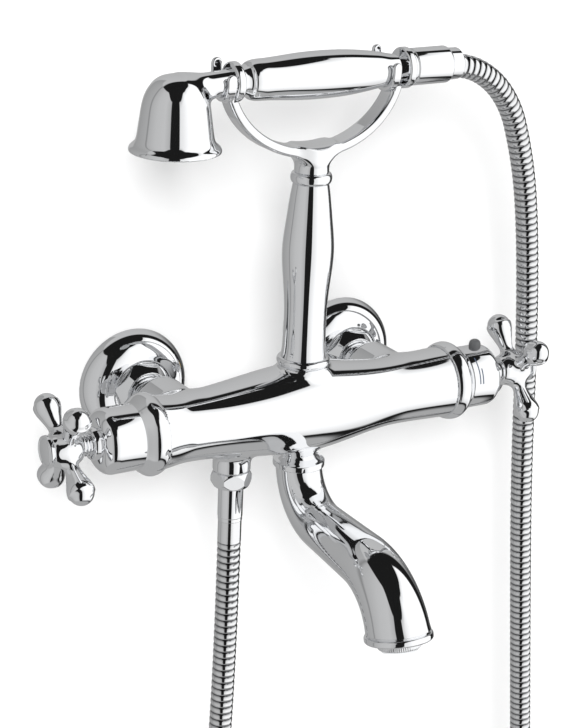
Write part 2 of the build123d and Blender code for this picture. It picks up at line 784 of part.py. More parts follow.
def bell():
    """Hand shower head: a bell with a flared rim, and the neck tube that leaves its side."""
    top, rim = bell_top, -bell_rim_drop
    outer = Spline(
        (top, 0), (top - 2.4, 10.5), (-5, 17.6), (-16, 19.9), (-26, 21.3), (-31.5, 23.2),
        (rim + 1.6, bell_rim_r), tangents=[(0, 1), (-1, 0.9)],
    )
    lip = Polyline(outer @ 1, (rim, bell_rim_r), (rim, bell_rim_r - bell_wall))
    inner = Spline(
        (rim, bell_rim_r - bell_wall), (-31.0, 23.4 - bell_wall), (-26, 21.4 - bell_wall),
        (-16, 19.9 - bell_wall), (-5, 17.4 - bell_wall), (top - 3.9, 9.6), (top - bell_wall, 0),
        tangents=[(1, -0.9), (0, -1)],
    )
    foot = Line(inner @ 1, outer @ 0)
    shell = placed(revolve(make_face([outer, lip, inner, foot]), Axis.X), "Z", bell_axis)
    tube = shower_neck(neck_tube_r, neck_low_r)
    hollow = make_face([inner, Polyline(inner @ 1, (rim, 0), inner @ 0)])
    solid_inside = placed(revolve(hollow, Axis.X), "Z", bell_axis)
    shell += tube - solid_inside
    shell -= shower_neck(core_bore_r, neck_low_r - 1.6)
    post_low = spray_plate_low + spray_plate_t
    shell += ring(post_low, bell_top - 1.0, spray_post_r, 0, "Z", bell_axis)
    shell -= ring(post_low, post_low + 12, 1.7, 0, "Z", bell_axis)
    return shell - ring(shower_ring_from - core_overlap, shower_ring_from, core_r, 0, "X", shower)


def spray_plate():
    """Face of the shower head, with two rings of nozzle holes and a screw hole."""
    low = spray_plate_low
    plate = ring(low, low + spray_plate_t, spray_plate_r, 0, "Z", bell_axis)
    holes = Sketch()
    for count, radius in ((spray_holes, 17.5), (spray_holes // 2, 10.5)):
        for place in PolarLocations(radius, count):
            holes += place * Circle(0.9)
    holes += Circle(2.1)
    cut = extrude(holes, 3 * spray_plate_t)
    return plate - Pos(bell_at, -axis_out, shower_z + low - spray_plate_t) * cut


def spray_seal():
    """Sealing ring above the spray plate, between plate and bell."""
    low = spray_plate_low + spray_plate_t
    return ring(low, low + 2.0, 21.0, 18.9, "Z", bell_axis)


def spray_screw():
    """Countersunk screw in the middle of the spray plate."""
    low, head = spray_plate_low, spray_plate_low - 0.9
    return turned([
        (head, 0), (head, 3.4), (low, 3.4), (low, 1.6), (low + 14.0, 1.6), (low + 14.0, 0),
    ], "Z", bell_axis)


def shower_ring():
    """Rounded bead on the neck of the hand shower."""
    start, end = shower_ring_from, shower_ring_from + shower_ring_width
    bead = Spline(
        (start, shower_ring_r - 2.4), (start + 2.0, shower_ring_r - 0.4),
        ((start + end) / 2, shower_ring_r), (end - 2.0, shower_ring_r - 0.4),
        (end, shower_ring_r - 2.4),
    )
    foot = Polyline(bead @ 1, (end, core_r), (start, core_r), bead @ 0)
    return placed(revolve(make_face([bead, foot]), Axis.X), "X", shower)


def grip():
    """Turned grip: a quick shoulder on the left, a full middle and a long taper to the right."""
    outline = Spline(
        (grip_from, 10.6), (grip_from + 8, 11.9), (-8, 13.3), (6, grip_r), (24, 12.8),
        (38, 11.1), (49, 9.6), (grip_to, grip_end_r), tangents=[(1, 0.5), (1, 0)],
    )
    foot = Polyline(outline @ 1, (grip_to, core_r), (grip_from, core_r), outline @ 0)
    return placed(revolve(make_face([outline, foot]), Axis.X), "X", shower)


def core_tube():
    """Water tube through ring and grip, with the male thread for the hose."""
    start = shower_ring_from - core_overlap
    thread_end = grip_to + hose_thread_length
    return turned([
        (start, core_bore_r), (start, core_r), (grip_to, core_r), (grip_to, hose_thread_r),
        (thread_end, hose_thread_r), (thread_end, core_bore_r),
    ], "X", shower)


def upper_nut():
    """Long round nut of the hose with a raised ring, screwed onto the hand shower."""
    start = grip_to + 0.2
    ring_end = start + hose_nut_ring_width
    bead = ThreePointArc(
        (start, hose_nut_ring_r - 1.5), ((start + ring_end) / 2, hose_nut_ring_r),
        (ring_end, hose_nut_ring_r - 1.2),
    )
    side = Polyline(
        bead @ 1, (ring_end, hose_nut_r), (hose_nut_to - 3.6, hose_nut_r),
        (hose_nut_to, hose_nut_mouth_r + 0.5), (hose_nut_to, hose_nut_mouth_r),
        (hose_tail + 2 * hose_r, hose_r + turn_gap),
        (hose_tail + 1.5, hose_r + turn_gap), (hose_tail + 1.5, hose_thread_r + thread_gap),
        (start, hose_thread_r + thread_gap), bead @ 0,
    )
    return placed(revolve(make_face([bead, side]), Axis.X), "X", shower)


def upper_washer():
    """Rubber washer between the hand shower's thread and the hose."""
    start = grip_to + hose_thread_length
    return ring(start, start + washer_t, hose_thread_r - 0.2, hose_bore_r, "X", shower)


def spout_path():
    """Centre line of the spout in its own plane: distance out from the bar, and height."""
    first = JernArc((0, spout_top + 4.6), (0, -1), first_bend_r, first_bend_turn)
    middle = PolarLine(first @ 1, spout_straight, direction=first % 1)
    last = JernArc(middle @ 1, middle % 1, second_bend_r, -second_bend_turn)
    return Wire([first, middle, last])


spout_plane = Plane(origin=bar, x_dir=(0, -1, 0), z_dir=(-1, 0, 0))


def spout_frame(path, share):
    """Plane across the spout at a share of its length, its normal along the water."""
    point = spout_plane.from_local_coords(path.position_at(share))
    ahead = spout_plane.from_local_coords(path.position_at(share) + path.tangent_at(share))
    return Plane(origin=point, x_dir=(1, 0, 0), z_dir=ahead - point)


def level_disc(height, radius):
    """Plane disc across the spout's upright end, facing down."""
    return Plane(origin=(0, -axis_out, height), x_dir=(1, 0, 0), z_dir=(0, 0, -1)) * Circle(radius)


def spout():
    """S-shaped cast spout that widens towards its mouth, with the spigot it turns on."""
    path = spout_path()
    shares = [0.075, 0.15, 0.23, 0.31, 0.42, 0.53, 0.64, 0.75, 0.86, 0.95, 1.0]
    outer, inner = [], []
    for share in shares:
        radius = spout_start_r + (spout_end_r - spout_start_r) * share ** spout_growth
        outer.append(spout_frame(path, share) * Circle(radius))
        inner.append(spout_frame(path, share) * Circle(radius - spout_wall))
    tube = loft(outer)
    neck = outer[0]
    tube += loft([level_disc(spout_top, spout_start_r), neck], ruled=True)
    lip = mouth_turned([
        (-spout_lip_t * 0.5, spout_end_r - 1), (-spout_lip_t * 0.42, spout_lip_r),
        (spout_lip_t * 0.4, spout_lip_r), (spout_lip_t * 0.5, spout_end_r - 1.4),
        (spout_lip_t * 0.5, aerator_r + thread_gap),
        (-spout_lip_t * 0.5, aerator_r + thread_gap),
    ])
    tube -= loft(inner)
    tube += lip
    seat = -aerator_length
    tube += mouth_turned([
        (seat, aerator_r + thread_gap), (seat, spout_end_r - 1.6), (0, spout_end_r - 1.2),
        (0, aerator_r + thread_gap),
    ])
    tube -= loft([level_disc(spout_top - 3, spigot_tube_bore), inner[0]], ruled=True)
    tube += ring(spout_top, spigot_top, spigot_tube_r, 0, "Z", bar)
    tube -= ring(spout_top - 4, spigot_top, spigot_tube_bore, 0, "Z", bar)
    for z in seal_heights:
        tube -= ring(z - seal_r - 0.1, z + seal_r + 0.1, spigot_tube_r + 1, seal_seat_r, "Z", bar)
    return tube


def mouth_turned(points):
    """A lathe part about the water axis at the mouth, (along, radius) from the mouth plane."""
    face = make_face(Polyline(*[(r, a) for a, r in points], close=True))
    return spout_frame(spout_path(), 1) * revolve(Plane.XZ * face, Axis.Z)


def spout_collar():
    """Turned collar round the spout neck: a plain rim under a hollow cone."""
    low = spout_top + turn_gap
    rim = low + spout_rim_t
    high = low + spout_collar_t
    cone = Spline((rim, spout_collar_r - 0.6), (rim + 2.2, 11.4), (high, spout_neck_r + 0.8),
                  tangents=[(0.3, -1), (1, -0.25)])
    foot = Polyline(
        cone @ 1, (high, spout_neck_r + 0.1), (low, spout_neck_r + 0.1), (low, spout_collar_r - 0.6),
        (low + 0.6, spout_collar_r), (rim - 0.6, spout_collar_r), cone @ 0,
    )
    return placed(revolve(make_face([cone, foot]), Axis.X), "Z", bar)


def spout_seals():
    """Two rubber rings in the grooves of the spigot."""
    middle_r = seal_seat_r + 0.025 + seal_r
    return Compound(children=[torus(z, middle_r, seal_r, "Z", bar) for z in seal_heights])


def aerator_housing():
    """Threaded ring in the mouth that holds the aerator."""
    end = spout_lip_t / 2 + aerator_proud
    return mouth_turned([
        (-aerator_length + 0.3, aerator_core_r + running_gap), (-aerator_length + 0.3, aerator_r),
        (end - 0.8, aerator_r), (end, aerator_r - 0.8), (end, aerator_core_r + running_gap),
    ])


def aerator_core():
    """Plastic insert with a grid of round jets."""
    end = spout_lip_t / 2 + aerator_proud - 0.8
    start = -aerator_length + 1.0
    core = mouth_turned([(start, 0), (start, aerator_core_r), (end, aerator_core_r), (end, 0)])
    holes = Sketch() + Circle(1.1)
    for count, radius in ((6, 3.8), (12, 7.6)):
        for place in PolarLocations(radius, count):
            holes += place * Circle(1.1)
    jets = Pos(0, 0, start - 2) * extrude(holes, end - start + 4)
    return core - spout_frame(spout_path(), 1) * jets


def lower_nut():
    """Hexagon nut of the hose on the outlet under the bar."""
    nut = hexagon(nut_low, outlet_boss_end - 0.1, lower_nut_flats, "Z", outlet)
    nut -= ring(lip_low, outlet_boss_end, hose_thread_r + thread_gap, 0, "Z", outlet)
    return nut - ring(nut_low, nipple_end, lower_ferrule_r - 1.2, 0, "Z", outlet)


def lower_washer():
    """Rubber washer between the outlet's thread and the hose."""
    return ring(nipple_end - washer_t, nipple_end, hose_thread_r - 0.2, hose_bore_r, "Z", outlet)


def lower_ferrule():
    """Crimped sleeve of the hose with the tail that reaches into its nut."""
    tail = lower_ferrule_r - 1.3
    lip_r = hose_thread_r - 0.2
    return turned([
        (ferrule_low, hose_bore_r), (ferrule_low, lower_ferrule_r - 0.3),
        (ferrule_low + 0.8, lower_ferrule_r), (nut_low - 0.8, lower_ferrule_r),
        (nut_low, lower_ferrule_r - 0.3), (nut_low, tail), (lip_low, tail), (lip_low, lip_r),
        (nipple_end - washer_t, lip_r), (nipple_end - washer_t, hose_bore_r),
    ], "Z", outlet)


# The free hose, from the ferrule under the bar round its hanging loop to the hand shower
hose_points = [
    (outlet_at, -axis_out, ferrule_low),
    (outlet_at, -78.0, -150.0),
    (-50.5, -77.5, -255.0),
    (-56.0, -76.5, -355.0),
    (-53.0, -75.5, -440.0),
    (-34.0, -74.0, -516.0),
    (11.0, -72.0, -574.0),
    (74.0, -70.0, -598.0),
    (138.0, -68.0, -578.0),
    (184.0, -66.0, -524.0),
    (208.0, -64.0, -453.0),
    (213.5, -62.5, -376.0),
    (206.5, -61.3, -295.0),
    (196.6, -61.0, -191.0),
    (186.9, -61.0, -86.5),
    (180.6, -62.5, 13.2),
    (172.8, -65.5, 74.5),
    (163.9, -69.0, 118.3),
    (153.5, -72.2, 148.4),
    (142.8, -75.2, 171.9),
    (125.0, -77.3, 191.2),
    (hose_tail + 26.2, -axis_out, shower_z),
    (hose_tail, -axis_out, shower_z),
]


def hose_radii(points):
    """Largest tangent arc at each corner: 0.45 of the shorter run over the half turn's tangent."""
    radii = []
    for before, here, after in zip(points, points[1:], points[2:]):
        first, second = Vector(*here) - Vector(*before), Vector(*after) - Vector(*here)
        half = radians(first.get_angle(second)) / 2
        radii.append(0.45 * min(first.length, second.length) / tan(half))
    return radii


def hose():
    """Ribbed hose: a ruled loft over its ribs, less the bore, along runs and tangent arcs."""
    radii = hose_radii(hose_points)
    path = FilletPolyline(*hose_points, radius=radii)
    length = path.length
    print("hose length", round(length, 1), "radii", [round(r) for r in radii])
    end = 2 * hose_r
    pitch = (length - 2 * end) / hose_ribs
    stations = [(0.0, hose_r), (end * 0.98, hose_r)]
    for k in range(hose_ribs):
        a = end + k * pitch
        stations += [(a, hose_valley_r), (a + 0.16 * pitch, hose_r)]
        stations += [(a + 0.72 * pitch, hose_r), (a + 0.88 * pitch, hose_valley_r)]
    stations += [(length - end, hose_valley_r), (length - end * 0.98, hose_r), (length, hose_r)]
    discs = []
    for along, radius in stations:
        share = along / length
        point, heading = path.position_at(share), path.tangent_at(share)
        side = Vector(0, 1, 0) - heading * heading.dot(Vector(0, 1, 0))
        discs.append(Plane(origin=point, x_dir=side, z_dir=heading) * Circle(radius))
    outside = loft(discs, ruled=True)
    start = Plane(origin=path @ 0, z_dir=path % 0)
    bore = sweep(start * Circle(hose_bore_r), path=path)
    print("bore", round(bore.volume / (pi * hose_bore_r ** 2 * length), 4))
    return outside - bore


def build():
    """Every node of the mixer under the name of its file."""
    nodes = {"valve_body": valve_body()}
    for side, x in inlets.items():
        nodes[f"wall_union_{side}"] = wall_union(x)
        nodes[f"union_nut_{side}"] = union_nut(x)
        nodes[f"wall_flange_{side}"] = wall_flange(x)
        nodes[f"check_valve_poppet_{side}"] = check_valve_poppet(x)
        nodes[f"check_valve_spring_{side}"] = check_valve_spring(x)
    nodes["check_valve_housings"] = Compound(children=[check_valve_housing(x) for x in inlets.values()])
    nodes["inlet_washers"] = Compound(children=[inlet_washer(x) for x in inlets.values()])
    nodes["bead_ring_left"] = bead_ring(-1, left_end)
    nodes["bead_ring_right"] = bead_ring(1, right_end)
    nodes["flow_headwork"] = flow_headwork()
    nodes["flow_disc_fixed"], nodes["flow_disc_turning"] = flow_discs()
    nodes["flow_spindle"] = flow_spindle()
    nodes["left_bell_cover"] = left_sleeve()
    nodes["cover_screw"] = cover_screw()
    flow_tip = -left_cross_out - hub_front + 5.0
    nodes["flow_cross"] = cross_handle(-1, left_cross_out, left_cross_turn, flow_tip)
    nodes["flow_stem"] = flow_stem()
    nodes["flow_cap"] = handle_cap(-1, left_cross_out)
    nodes["flow_screw"] = handle_screw(-1, left_cross_out, flow_tip)
    nodes["thermostat_housing"] = thermostat_housing()
    nodes["regulating_shuttle"] = regulating_shuttle()
    nodes["wax_element"] = wax_element()
    nodes["overtravel_capsule"] = overtravel_capsule()
    nodes["return_spring"] = return_spring()
    nodes["temperature_adjuster"] = temperature_adjuster()
    nodes["stop_ring"] = stop_ring()
    nodes["temperature_sleeve"] = temperature_sleeve()
    temperature_tip = right_cross_out + hub_front - 5.0
    nodes["temperature_cross"] = cross_handle(1, right_cross_out, right_cross_turn, temperature_tip)
    nodes["temperature_cap"] = handle_cap(1, right_cross_out)
    nodes["temperature_screw"] = handle_screw(1, right_cross_out, temperature_tip)
    nodes["stop_button"] = stop_button()
    nodes["button_spring"] = button_spring()
    nodes["column"] = column()
    nodes["column_studs"] = column_studs()
    nodes["column_bead"] = column_bead()
    nodes["fork"] = fork()
    nodes["shower_bell"] = bell()
    nodes["spray_plate"] = spray_plate()
    nodes["spray_seal"] = spray_seal()
    nodes["spray_screw"] = spray_screw()
    nodes["shower_ring"] = shower_ring()
    nodes["shower_grip"] = grip()
    nodes["core_tube"] = core_tube()
    nodes["hose_upper_nut"] = upper_nut()
    nodes["hose_upper_washer"] = upper_washer()
    nodes["spout"] = spout()
    nodes["spout_collar"] = spout_collar()
    nodes["spout_seals"] = spout_seals()
    nodes["aerator_housing"] = aerator_housing()
    nodes["aerator_core"] = aerator_core()
    nodes["hose_lower_nut"] = lower_nut()
    nodes["hose_lower_washer"] = lower_washer()
    nodes["hose_lower_ferrule"] = lower_ferrule()
    nodes["shower_hose"] = hose()
    return nodes


for name, solid in build().items():
    export_step(solid, f"parts/{name}.step")
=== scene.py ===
# %% [markdown]
# # A wall-mounted bath mixer in polished chrome
# The CAD model gives every piece its place, its size and its motion. This lesson dresses it: each
# cell says what a piece is on the real mixer, how it could be made, and why one way was chosen.
# Almost all is polished metal, so the lesson is about clean curves, because chrome shows nothing
# but the room around it.

import json
from math import cos, pi, radians, sin

import bmesh
import bpy
import numpy as np
from mathutils import Matrix


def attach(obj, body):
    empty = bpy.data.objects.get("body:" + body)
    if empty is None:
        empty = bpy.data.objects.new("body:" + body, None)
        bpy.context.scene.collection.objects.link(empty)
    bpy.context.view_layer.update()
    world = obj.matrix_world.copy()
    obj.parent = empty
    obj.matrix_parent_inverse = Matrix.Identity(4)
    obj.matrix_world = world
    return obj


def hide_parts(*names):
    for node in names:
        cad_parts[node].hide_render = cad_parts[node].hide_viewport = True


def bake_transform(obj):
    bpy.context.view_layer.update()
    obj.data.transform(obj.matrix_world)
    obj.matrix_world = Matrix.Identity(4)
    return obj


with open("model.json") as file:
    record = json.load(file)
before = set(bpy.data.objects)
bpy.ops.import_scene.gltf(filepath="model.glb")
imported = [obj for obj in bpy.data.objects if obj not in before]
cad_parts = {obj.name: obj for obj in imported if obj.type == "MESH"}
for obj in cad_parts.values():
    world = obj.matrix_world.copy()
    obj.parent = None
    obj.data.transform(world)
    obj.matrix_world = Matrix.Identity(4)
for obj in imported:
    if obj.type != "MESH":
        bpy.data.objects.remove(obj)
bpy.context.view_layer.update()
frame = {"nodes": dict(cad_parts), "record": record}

MM = 0.001
BAR = (0.0, -78.0, 0.0)  # middle of the bar, in millimetres like all lengths below
SHOWER = (0.0, -78.0, 202.0)  # middle of the hand shower's axis
BELL_X = -89.4
OUTLET = (-47.0, -78.0, 0.0)  # the hose's outlet, straight below this point of the bar
INLET_X = 75.0

# %% [markdown]
# ## The camera
# The picture was taken a little from the left and from above, with a long lens, and the camera was
# rolled slightly. A camera could be aimed with a constraint, but a matrix written out from two
# angles and a roll says the same in fewer moving parts. The two angles were found by matching the
# bar, the handles and the wall flanges to the picture.

# %% Camera at the picture's angle
TURN, TILT, ROLL = radians(31.48), radians(20.01), radians(2.36)
EYE = (-0.59548, -1.02831, 0.43492)
forward = np.array([sin(TURN) * cos(TILT), cos(TURN) * cos(TILT), -sin(TILT)])
level = np.array([cos(TURN), -sin(TURN), 0.0])
upward = np.cross(level, forward)
side = cos(ROLL) * level + sin(ROLL) * upward
top = -sin(ROLL) * level + cos(ROLL) * upward

lens = bpy.data.cameras.new("picture_camera")
lens.sensor_width = 36.0
lens.lens = 98.67
lens.clip_end = 20.0
camera = bpy.data.objects.new("picture_camera", lens)
bpy.context.scene.collection.objects.link(camera)
camera.matrix_world = Matrix((
    *((side[k], top[k], -forward[k], EYE[k]) for k in range(3)), (0, 0, 0, 1),
))
bpy.context.scene.camera = camera
bpy.context.scene.view_settings.view_transform = "Standard"

# %% [markdown]
# ## Meshes from arrays
# A piece can be modelled by hand, or be worked out: every point of a turned piece is a function of
# two numbers, how far along the axis and how far round it. Worked-out points go into the mesh as
# whole arrays, which is fast and exact. Repeated points, as at a pole, are merged, and the faces
# are then turned to point outwards.

# %% From arrays to a piece
AXES = {
    "X": np.array([[1, 0, 0], [0, 1, 0], [0, 0, 1]], float),
    "Y": np.array([[0, 1, 0], [0, 0, 1], [1, 0, 0]], float),
    "Z": np.array([[0, 0, 1], [1, 0, 0], [0, 1, 0]], float),
}


def grid_faces(rows, columns, ring_rows=False, ring_columns=True):
    """Quads between neighbours of a grid: (i, j), (i, j+1), (i+1, j+1), (i+1, j), wrapped round."""
    i = np.arange(rows if ring_rows else rows - 1)[:, None]
    j = np.arange(columns if ring_columns else columns - 1)[None, :]
    below, right = (i + 1) % rows, (j + 1) % columns
    corners = [i * columns + j, i * columns + right, below * columns + right, below * columns + j]
    return np.stack(np.broadcast_arrays(*corners), -1).reshape(-1, 4)


def bare_mesh(name, points, quads):
    """A mesh as it comes from points in millimetres and quads."""
    mesh = bpy.data.meshes.new(name)
    mesh.vertices.add(len(points))
    mesh.vertices.foreach_set("co", (np.asarray(points) * MM).astype(np.float32).ravel())
    mesh.loops.add(quads.size)
    mesh.loops.foreach_set("vertex_index", quads.astype(np.int32).ravel())
    mesh.polygons.add(len(quads))
    mesh.polygons.foreach_set("loop_start", np.arange(0, quads.size, 4, dtype=np.int32))
    mesh.update(calc_edges=True)
    return mesh


def mesh_of(name, points, quads, depth=None):
    """A mesh from points and quads, with merged poles and faces pointing outwards.

    A depth per point, such as how far it lies in a groove, is kept for the finish to read.
    """
    mesh = bare_mesh(name, points, quads)
    if depth is not None:
        values = mesh.attributes.new("depth", "FLOAT", "POINT").data
        values.foreach_set("value", depth.astype(np.float32))
    mesh.validate()
    shell = bmesh.new()
    shell.from_mesh(mesh)
    bmesh.ops.remove_doubles(shell, verts=shell.verts, dist=2e-6)
    bmesh.ops.recalc_face_normals(shell, faces=shell.faces)
    shell.to_mesh(mesh)
    shell.free()
    return mesh


def piece(name, mesh, material, body="mixer", nodes=(), slot="chrome", sharp=32):
    """Shows a mesh as a piece: smooth up to an angle, painted, riding a body and replacing nodes."""
    mesh.shade_smooth()
    if sharp:
        mesh.set_sharp_from_angle(angle=radians(sharp))
    mesh.materials.append(material)
    item = bpy.data.objects.new(name, mesh)
    bpy.context.scene.collection.objects.link(item)
    if body:
        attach(item, body)
    if nodes:
        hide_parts(*nodes)
    print(f"{name}: {len(mesh.polygons)} faces")
    return item


def turned(profile, axis="Z", at=(0, 0, 0), around=96, ring=False):
    """Surface of revolution: at + along * axis + radius * (cos a * first side + sin a * second)."""
    profile = np.asarray(profile, float)
    main, first, second = AXES[axis] if isinstance(axis, str) else axis
    angle = np.linspace(0, 2 * pi, around, endpoint=False)[None, :, None]
    along, radius = profile[:, 0][:, None, None], profile[:, 1][:, None, None]
    spoke = np.cos(angle) * first + np.sin(angle) * second
    points = np.array(at, float) + along * main + radius * spoke
    return points.reshape(-1, 3), grid_faces(len(profile), around, ring_rows=ring)


def lathed(name, profile, axis, at, around, material, ring=False, **facts):
    """A turned piece: the surface of revolution of its outline, shown as a piece."""
    mesh = mesh_of(name, *turned(profile, axis, at, around, ring=ring))
    return piece(name, mesh, material, **facts)


# %% [markdown]
# ## Outlines
# A lathe follows an outline. Straight outlines get every corner rounded a little, because a real
# polished edge is never sharp and its small round is what catches the light. Flowing outlines are
# cubic curves through a few measured points, which bend evenly between them.

# %% Rounded and flowing outlines
def softened(points, radius=0.5, steps=5):
    """Polyline with each corner replaced by a parabola that touches both its sides at the radius."""
    points = [np.array(p[:2], float) for p in points]
    out = [points[0]]
    share = np.linspace(0, 1, steps)[:, None]
    for before, here, after in zip(points, points[1:], points[2:]):
        back, ahead = before - here, after - here
        reach = min(radius, 0.45 * np.hypot(*back), 0.45 * np.hypot(*ahead))
        start = here + back / np.hypot(*back) * reach
        end = here + ahead / np.hypot(*ahead) * reach
        out.extend((1 - share) ** 2 * start + 2 * share * (1 - share) * here + share ** 2 * end)
    out.append(points[-1])
    return np.array(out)


def flowing(points, count=48, start=None, end=None):
    """Cubic spline through the points, bending evenly; start and end fix its first and last slope."""
    points = np.asarray(points, float)
    run = np.concatenate([[0], np.cumsum(np.hypot(*np.diff(points, axis=0).T))])
    gap = np.diff(run)
    n = len(points)
    matrix, right = np.zeros((n, n)), np.zeros((n, 2))
    for k in range(1, n - 1):
        matrix[k, k - 1:k + 2] = gap[k - 1], 2 * (gap[k - 1] + gap[k]), gap[k]
        ahead, behind = (points[k + 1] - points[k]) / gap[k], (points[k] - points[k - 1]) / gap[k - 1]
        right[k] = 6 * (ahead - behind)
    for row, near, slope, sign in ((0, 0, start, 1), (n - 1, n - 2, end, -1)):
        matrix[row, row] = 1
        if slope is not None:
            unit = np.array(slope, float) / np.hypot(*slope)
            h = gap[0] if sign > 0 else gap[-1]
            chord = (points[1] - points[0]) / h if sign > 0 else (points[-1] - points[-2]) / h
            matrix[row, row], matrix[row, row + sign] = 2 * h, h
            right[row] = 6 * sign * (chord - unit)
    bend = np.linalg.solve(matrix, right)
    t = np.linspace(0, run[-1], count)
    k = np.clip(np.searchsorted(run, t, side="right") - 1, 0, n - 2)
    h, a, b = gap[k][:, None], (run[k + 1] - t)[:, None], (t - run[k])[:, None]
    curve = (bend[k] * a ** 3 + bend[k + 1] * b ** 3) / (6 * h)
    curve += (points[k] / h - bend[k] * h / 6) * a + (points[k + 1] / h - bend[k + 1] * h / 6) * b
    return curve


# %% [markdown]
# ## Cast pieces
# Arms that flow out of a bar, or four arms that meet in a hub, have hollow fillets that no lathe
# can turn. They could be sculpted, or built as a subdivision cage. Here each casting is a field: a
# function that is negative inside the metal, and in which two shapes melt together over a chosen
# width. A mesh is laid over the field's zero, every point is drawn onto it, and the field's own
# slope gives the shading, so the reflections run smoothly through each fillet.

# %% Fields and the skin over them
def melted(a, b, width):
    """Smooth minimum of two fields: their union with a hollow fillet of about the given width."""
    near = np.maximum(width - np.abs(a - b), 0) / width
    return np.minimum(a, b) - near ** 2 * width / 4


def trimmed(a, b, width):
    """Smooth maximum of two fields: what both hold, with a rounded edge of about the given width."""
    return -melted(-a, -b, width)


def slope_of(field, points, step=0.02):
    """Gradient of a field by central differences."""
    parts = []
    for k in range(3):
        shift = np.zeros(3)
        shift[k] = step
        parts.append((field(points + shift) - field(points - shift)) / (2 * step))
    return np.stack(parts, -1)


def drawn_on(field, points, rounds=4):
    """Moves points along the field's gradient until they lie on its zero."""
    for _ in range(rounds):
        grade = slope_of(field, points)
        size = np.maximum((grade ** 2).sum(-1), 1e-4)
        points = points - (field(points) / size)[:, None] * grade
    return points


def skin(field, low, high, step):
    """Quads over a field's zero: one point per crossed cell of a grid, one quad per crossed edge."""
    spans = [np.arange(a, b + step, step) for a, b in zip(low, high)]
    corners = np.stack(np.meshgrid(*spans, indexing="ij"), -1)
    inside = field(corners) < 0
    halves = (slice(0, -1), slice(1, None))
    total = sum(inside[i, j, k].astype(int) for i in halves for j in halves for k in halves)
    crossed = (total > 0) & (total < 8)
    number = np.full(crossed.shape, -1)
    number[crossed] = np.arange(crossed.sum())
    points = corners[:-1, :-1, :-1][crossed] + step / 2
    quads = []
    for axis in range(3):
        u, v = (axis + 1) % 3, (axis + 2) % 3
        first = np.take(inside, range(inside.shape[axis] - 1), axis)
        last = np.take(inside, range(1, inside.shape[axis]), axis)
        for out in (True, False):
            found = np.argwhere((first & ~last) if out else (~first & last))
            found = found[(found[:, u] > 0) & (found[:, v] > 0)]
            found = found[(found[:, u] < crossed.shape[u]) & (found[:, v] < crossed.shape[v])]
            ring = []
            for du, dv in ((1, 1), (0, 1), (0, 0), (1, 0)):
                cell = found.copy()
                cell[:, u] -= du
                cell[:, v] -= dv
                ring.append(number[tuple(cell.T)])
            quad = np.stack(ring, -1)
            quads.append(quad if out else quad[:, ::-1])
    quads = np.concatenate(quads)
    ends = np.concatenate([quads[:, [0, 1]], quads[:, [1, 2]], quads[:, [2, 3]], quads[:, [3, 0]]])
    count = np.bincount(ends[:, 0], minlength=len(points))[:, None]
    for _ in range(3):
        points = drawn_on(field, points, 2)
        sums = [np.bincount(ends[:, 0], points[ends[:, 1], k], len(points)) for k in range(3)]
        points = 0.4 * points + 0.6 * np.stack(sums, -1) / count
    return drawn_on(field, points, 4), quads


def cast(name, field, low, high, step, material, **facts):
    """A cast piece: the skin of a field, shaded by the field's own slope."""
    points, quads = skin(field, low, high, step)
    mesh = bare_mesh(name, points, quads)
    item = piece(name, mesh, material, sharp=None, **facts)
    grade = slope_of(field, points)
    grade /= np.linalg.norm(grade, axis=1)[:, None]
    mesh.normals_split_custom_set_from_vertices(grade.astype(np.float32))
    return item

# %% [markdown]
# ## Finishes
# Chrome is a mirror with the faintest unevenness: the casting under it was ground by hand, so the
# surface swells by a few thousandths, and wiping leaves it a trace less sharp in places. A noise
# at two scales drives the roughness and a very weak bump. The other metals and plastics inside
# follow the same recipe with more grain. All patterns lie in the object's own coordinates.

# %% Node helpers
def start_material(name):
    """A new node material with its surface shader, its node tree and its object coordinates."""
    material = bpy.data.materials.new(name)
    material.use_nodes = True
    tree = material.node_tree
    coords = tree.nodes.new("ShaderNodeTexCoord")
    return material, tree, tree.nodes["Principled BSDF"], coords.outputs["Object"]


def add(tree, kind, **inputs):
    """A new node; each of its inputs takes a value or the output of another node."""
    node = tree.nodes.new(kind)
    for name, value in inputs.items():
        socket = node.inputs[name.replace("_", " ")]
        if isinstance(value, bpy.types.NodeSocket):
            tree.links.new(value, socket)
        else:
            socket.default_value = value
    return node


def noise(tree, coords, scale, detail=3.0):
    """Noise of so many grains to the metre."""
    return add(tree, "ShaderNodeTexNoise", Vector=coords, Scale=scale, Detail=detail).outputs["Fac"]


def between(tree, factor, low, high):
    """Maps 0.3 to 0.7 of a noise onto the range low to high."""
    node = add(tree, "ShaderNodeMapRange", Value=factor, From_Min=0.3, From_Max=0.7, To_Min=low, To_Max=high)
    return node.outputs["Result"]


def two_colours(tree, factor, first, second):
    """Blends two colours by a factor."""
    node = tree.nodes.new("ShaderNodeMix")
    node.data_type = "RGBA"
    node.inputs[6].default_value, node.inputs[7].default_value = (*first, 1), (*second, 1)
    tree.links.new(factor, node.inputs[0])
    return node.outputs[2]


def bump(tree, shader, height, strength, distance):
    """Bumps a shader by a height in the material's own pattern."""
    node = add(tree, "ShaderNodeBump", Strength=strength, Distance=distance, Height=height)
    tree.links.new(node.outputs["Normal"], shader.inputs["Normal"])


def finish(name, first, second, metallic, rough, grain, bumpy):
    """A finish whose colour, roughness and height vary with noise at a coarse and a fine scale."""
    material, tree, shader, coords = start_material(name)
    shader.inputs["Metallic"].default_value = metallic
    coarse, fine = noise(tree, coords, grain * 0.25), noise(tree, coords, grain, 4.0)
    tree.links.new(two_colours(tree, coarse, first, second), shader.inputs["Base Color"])
    tree.links.new(between(tree, fine, *rough), shader.inputs["Roughness"])
    bump(tree, shader, fine, bumpy, 0.0002)
    return material


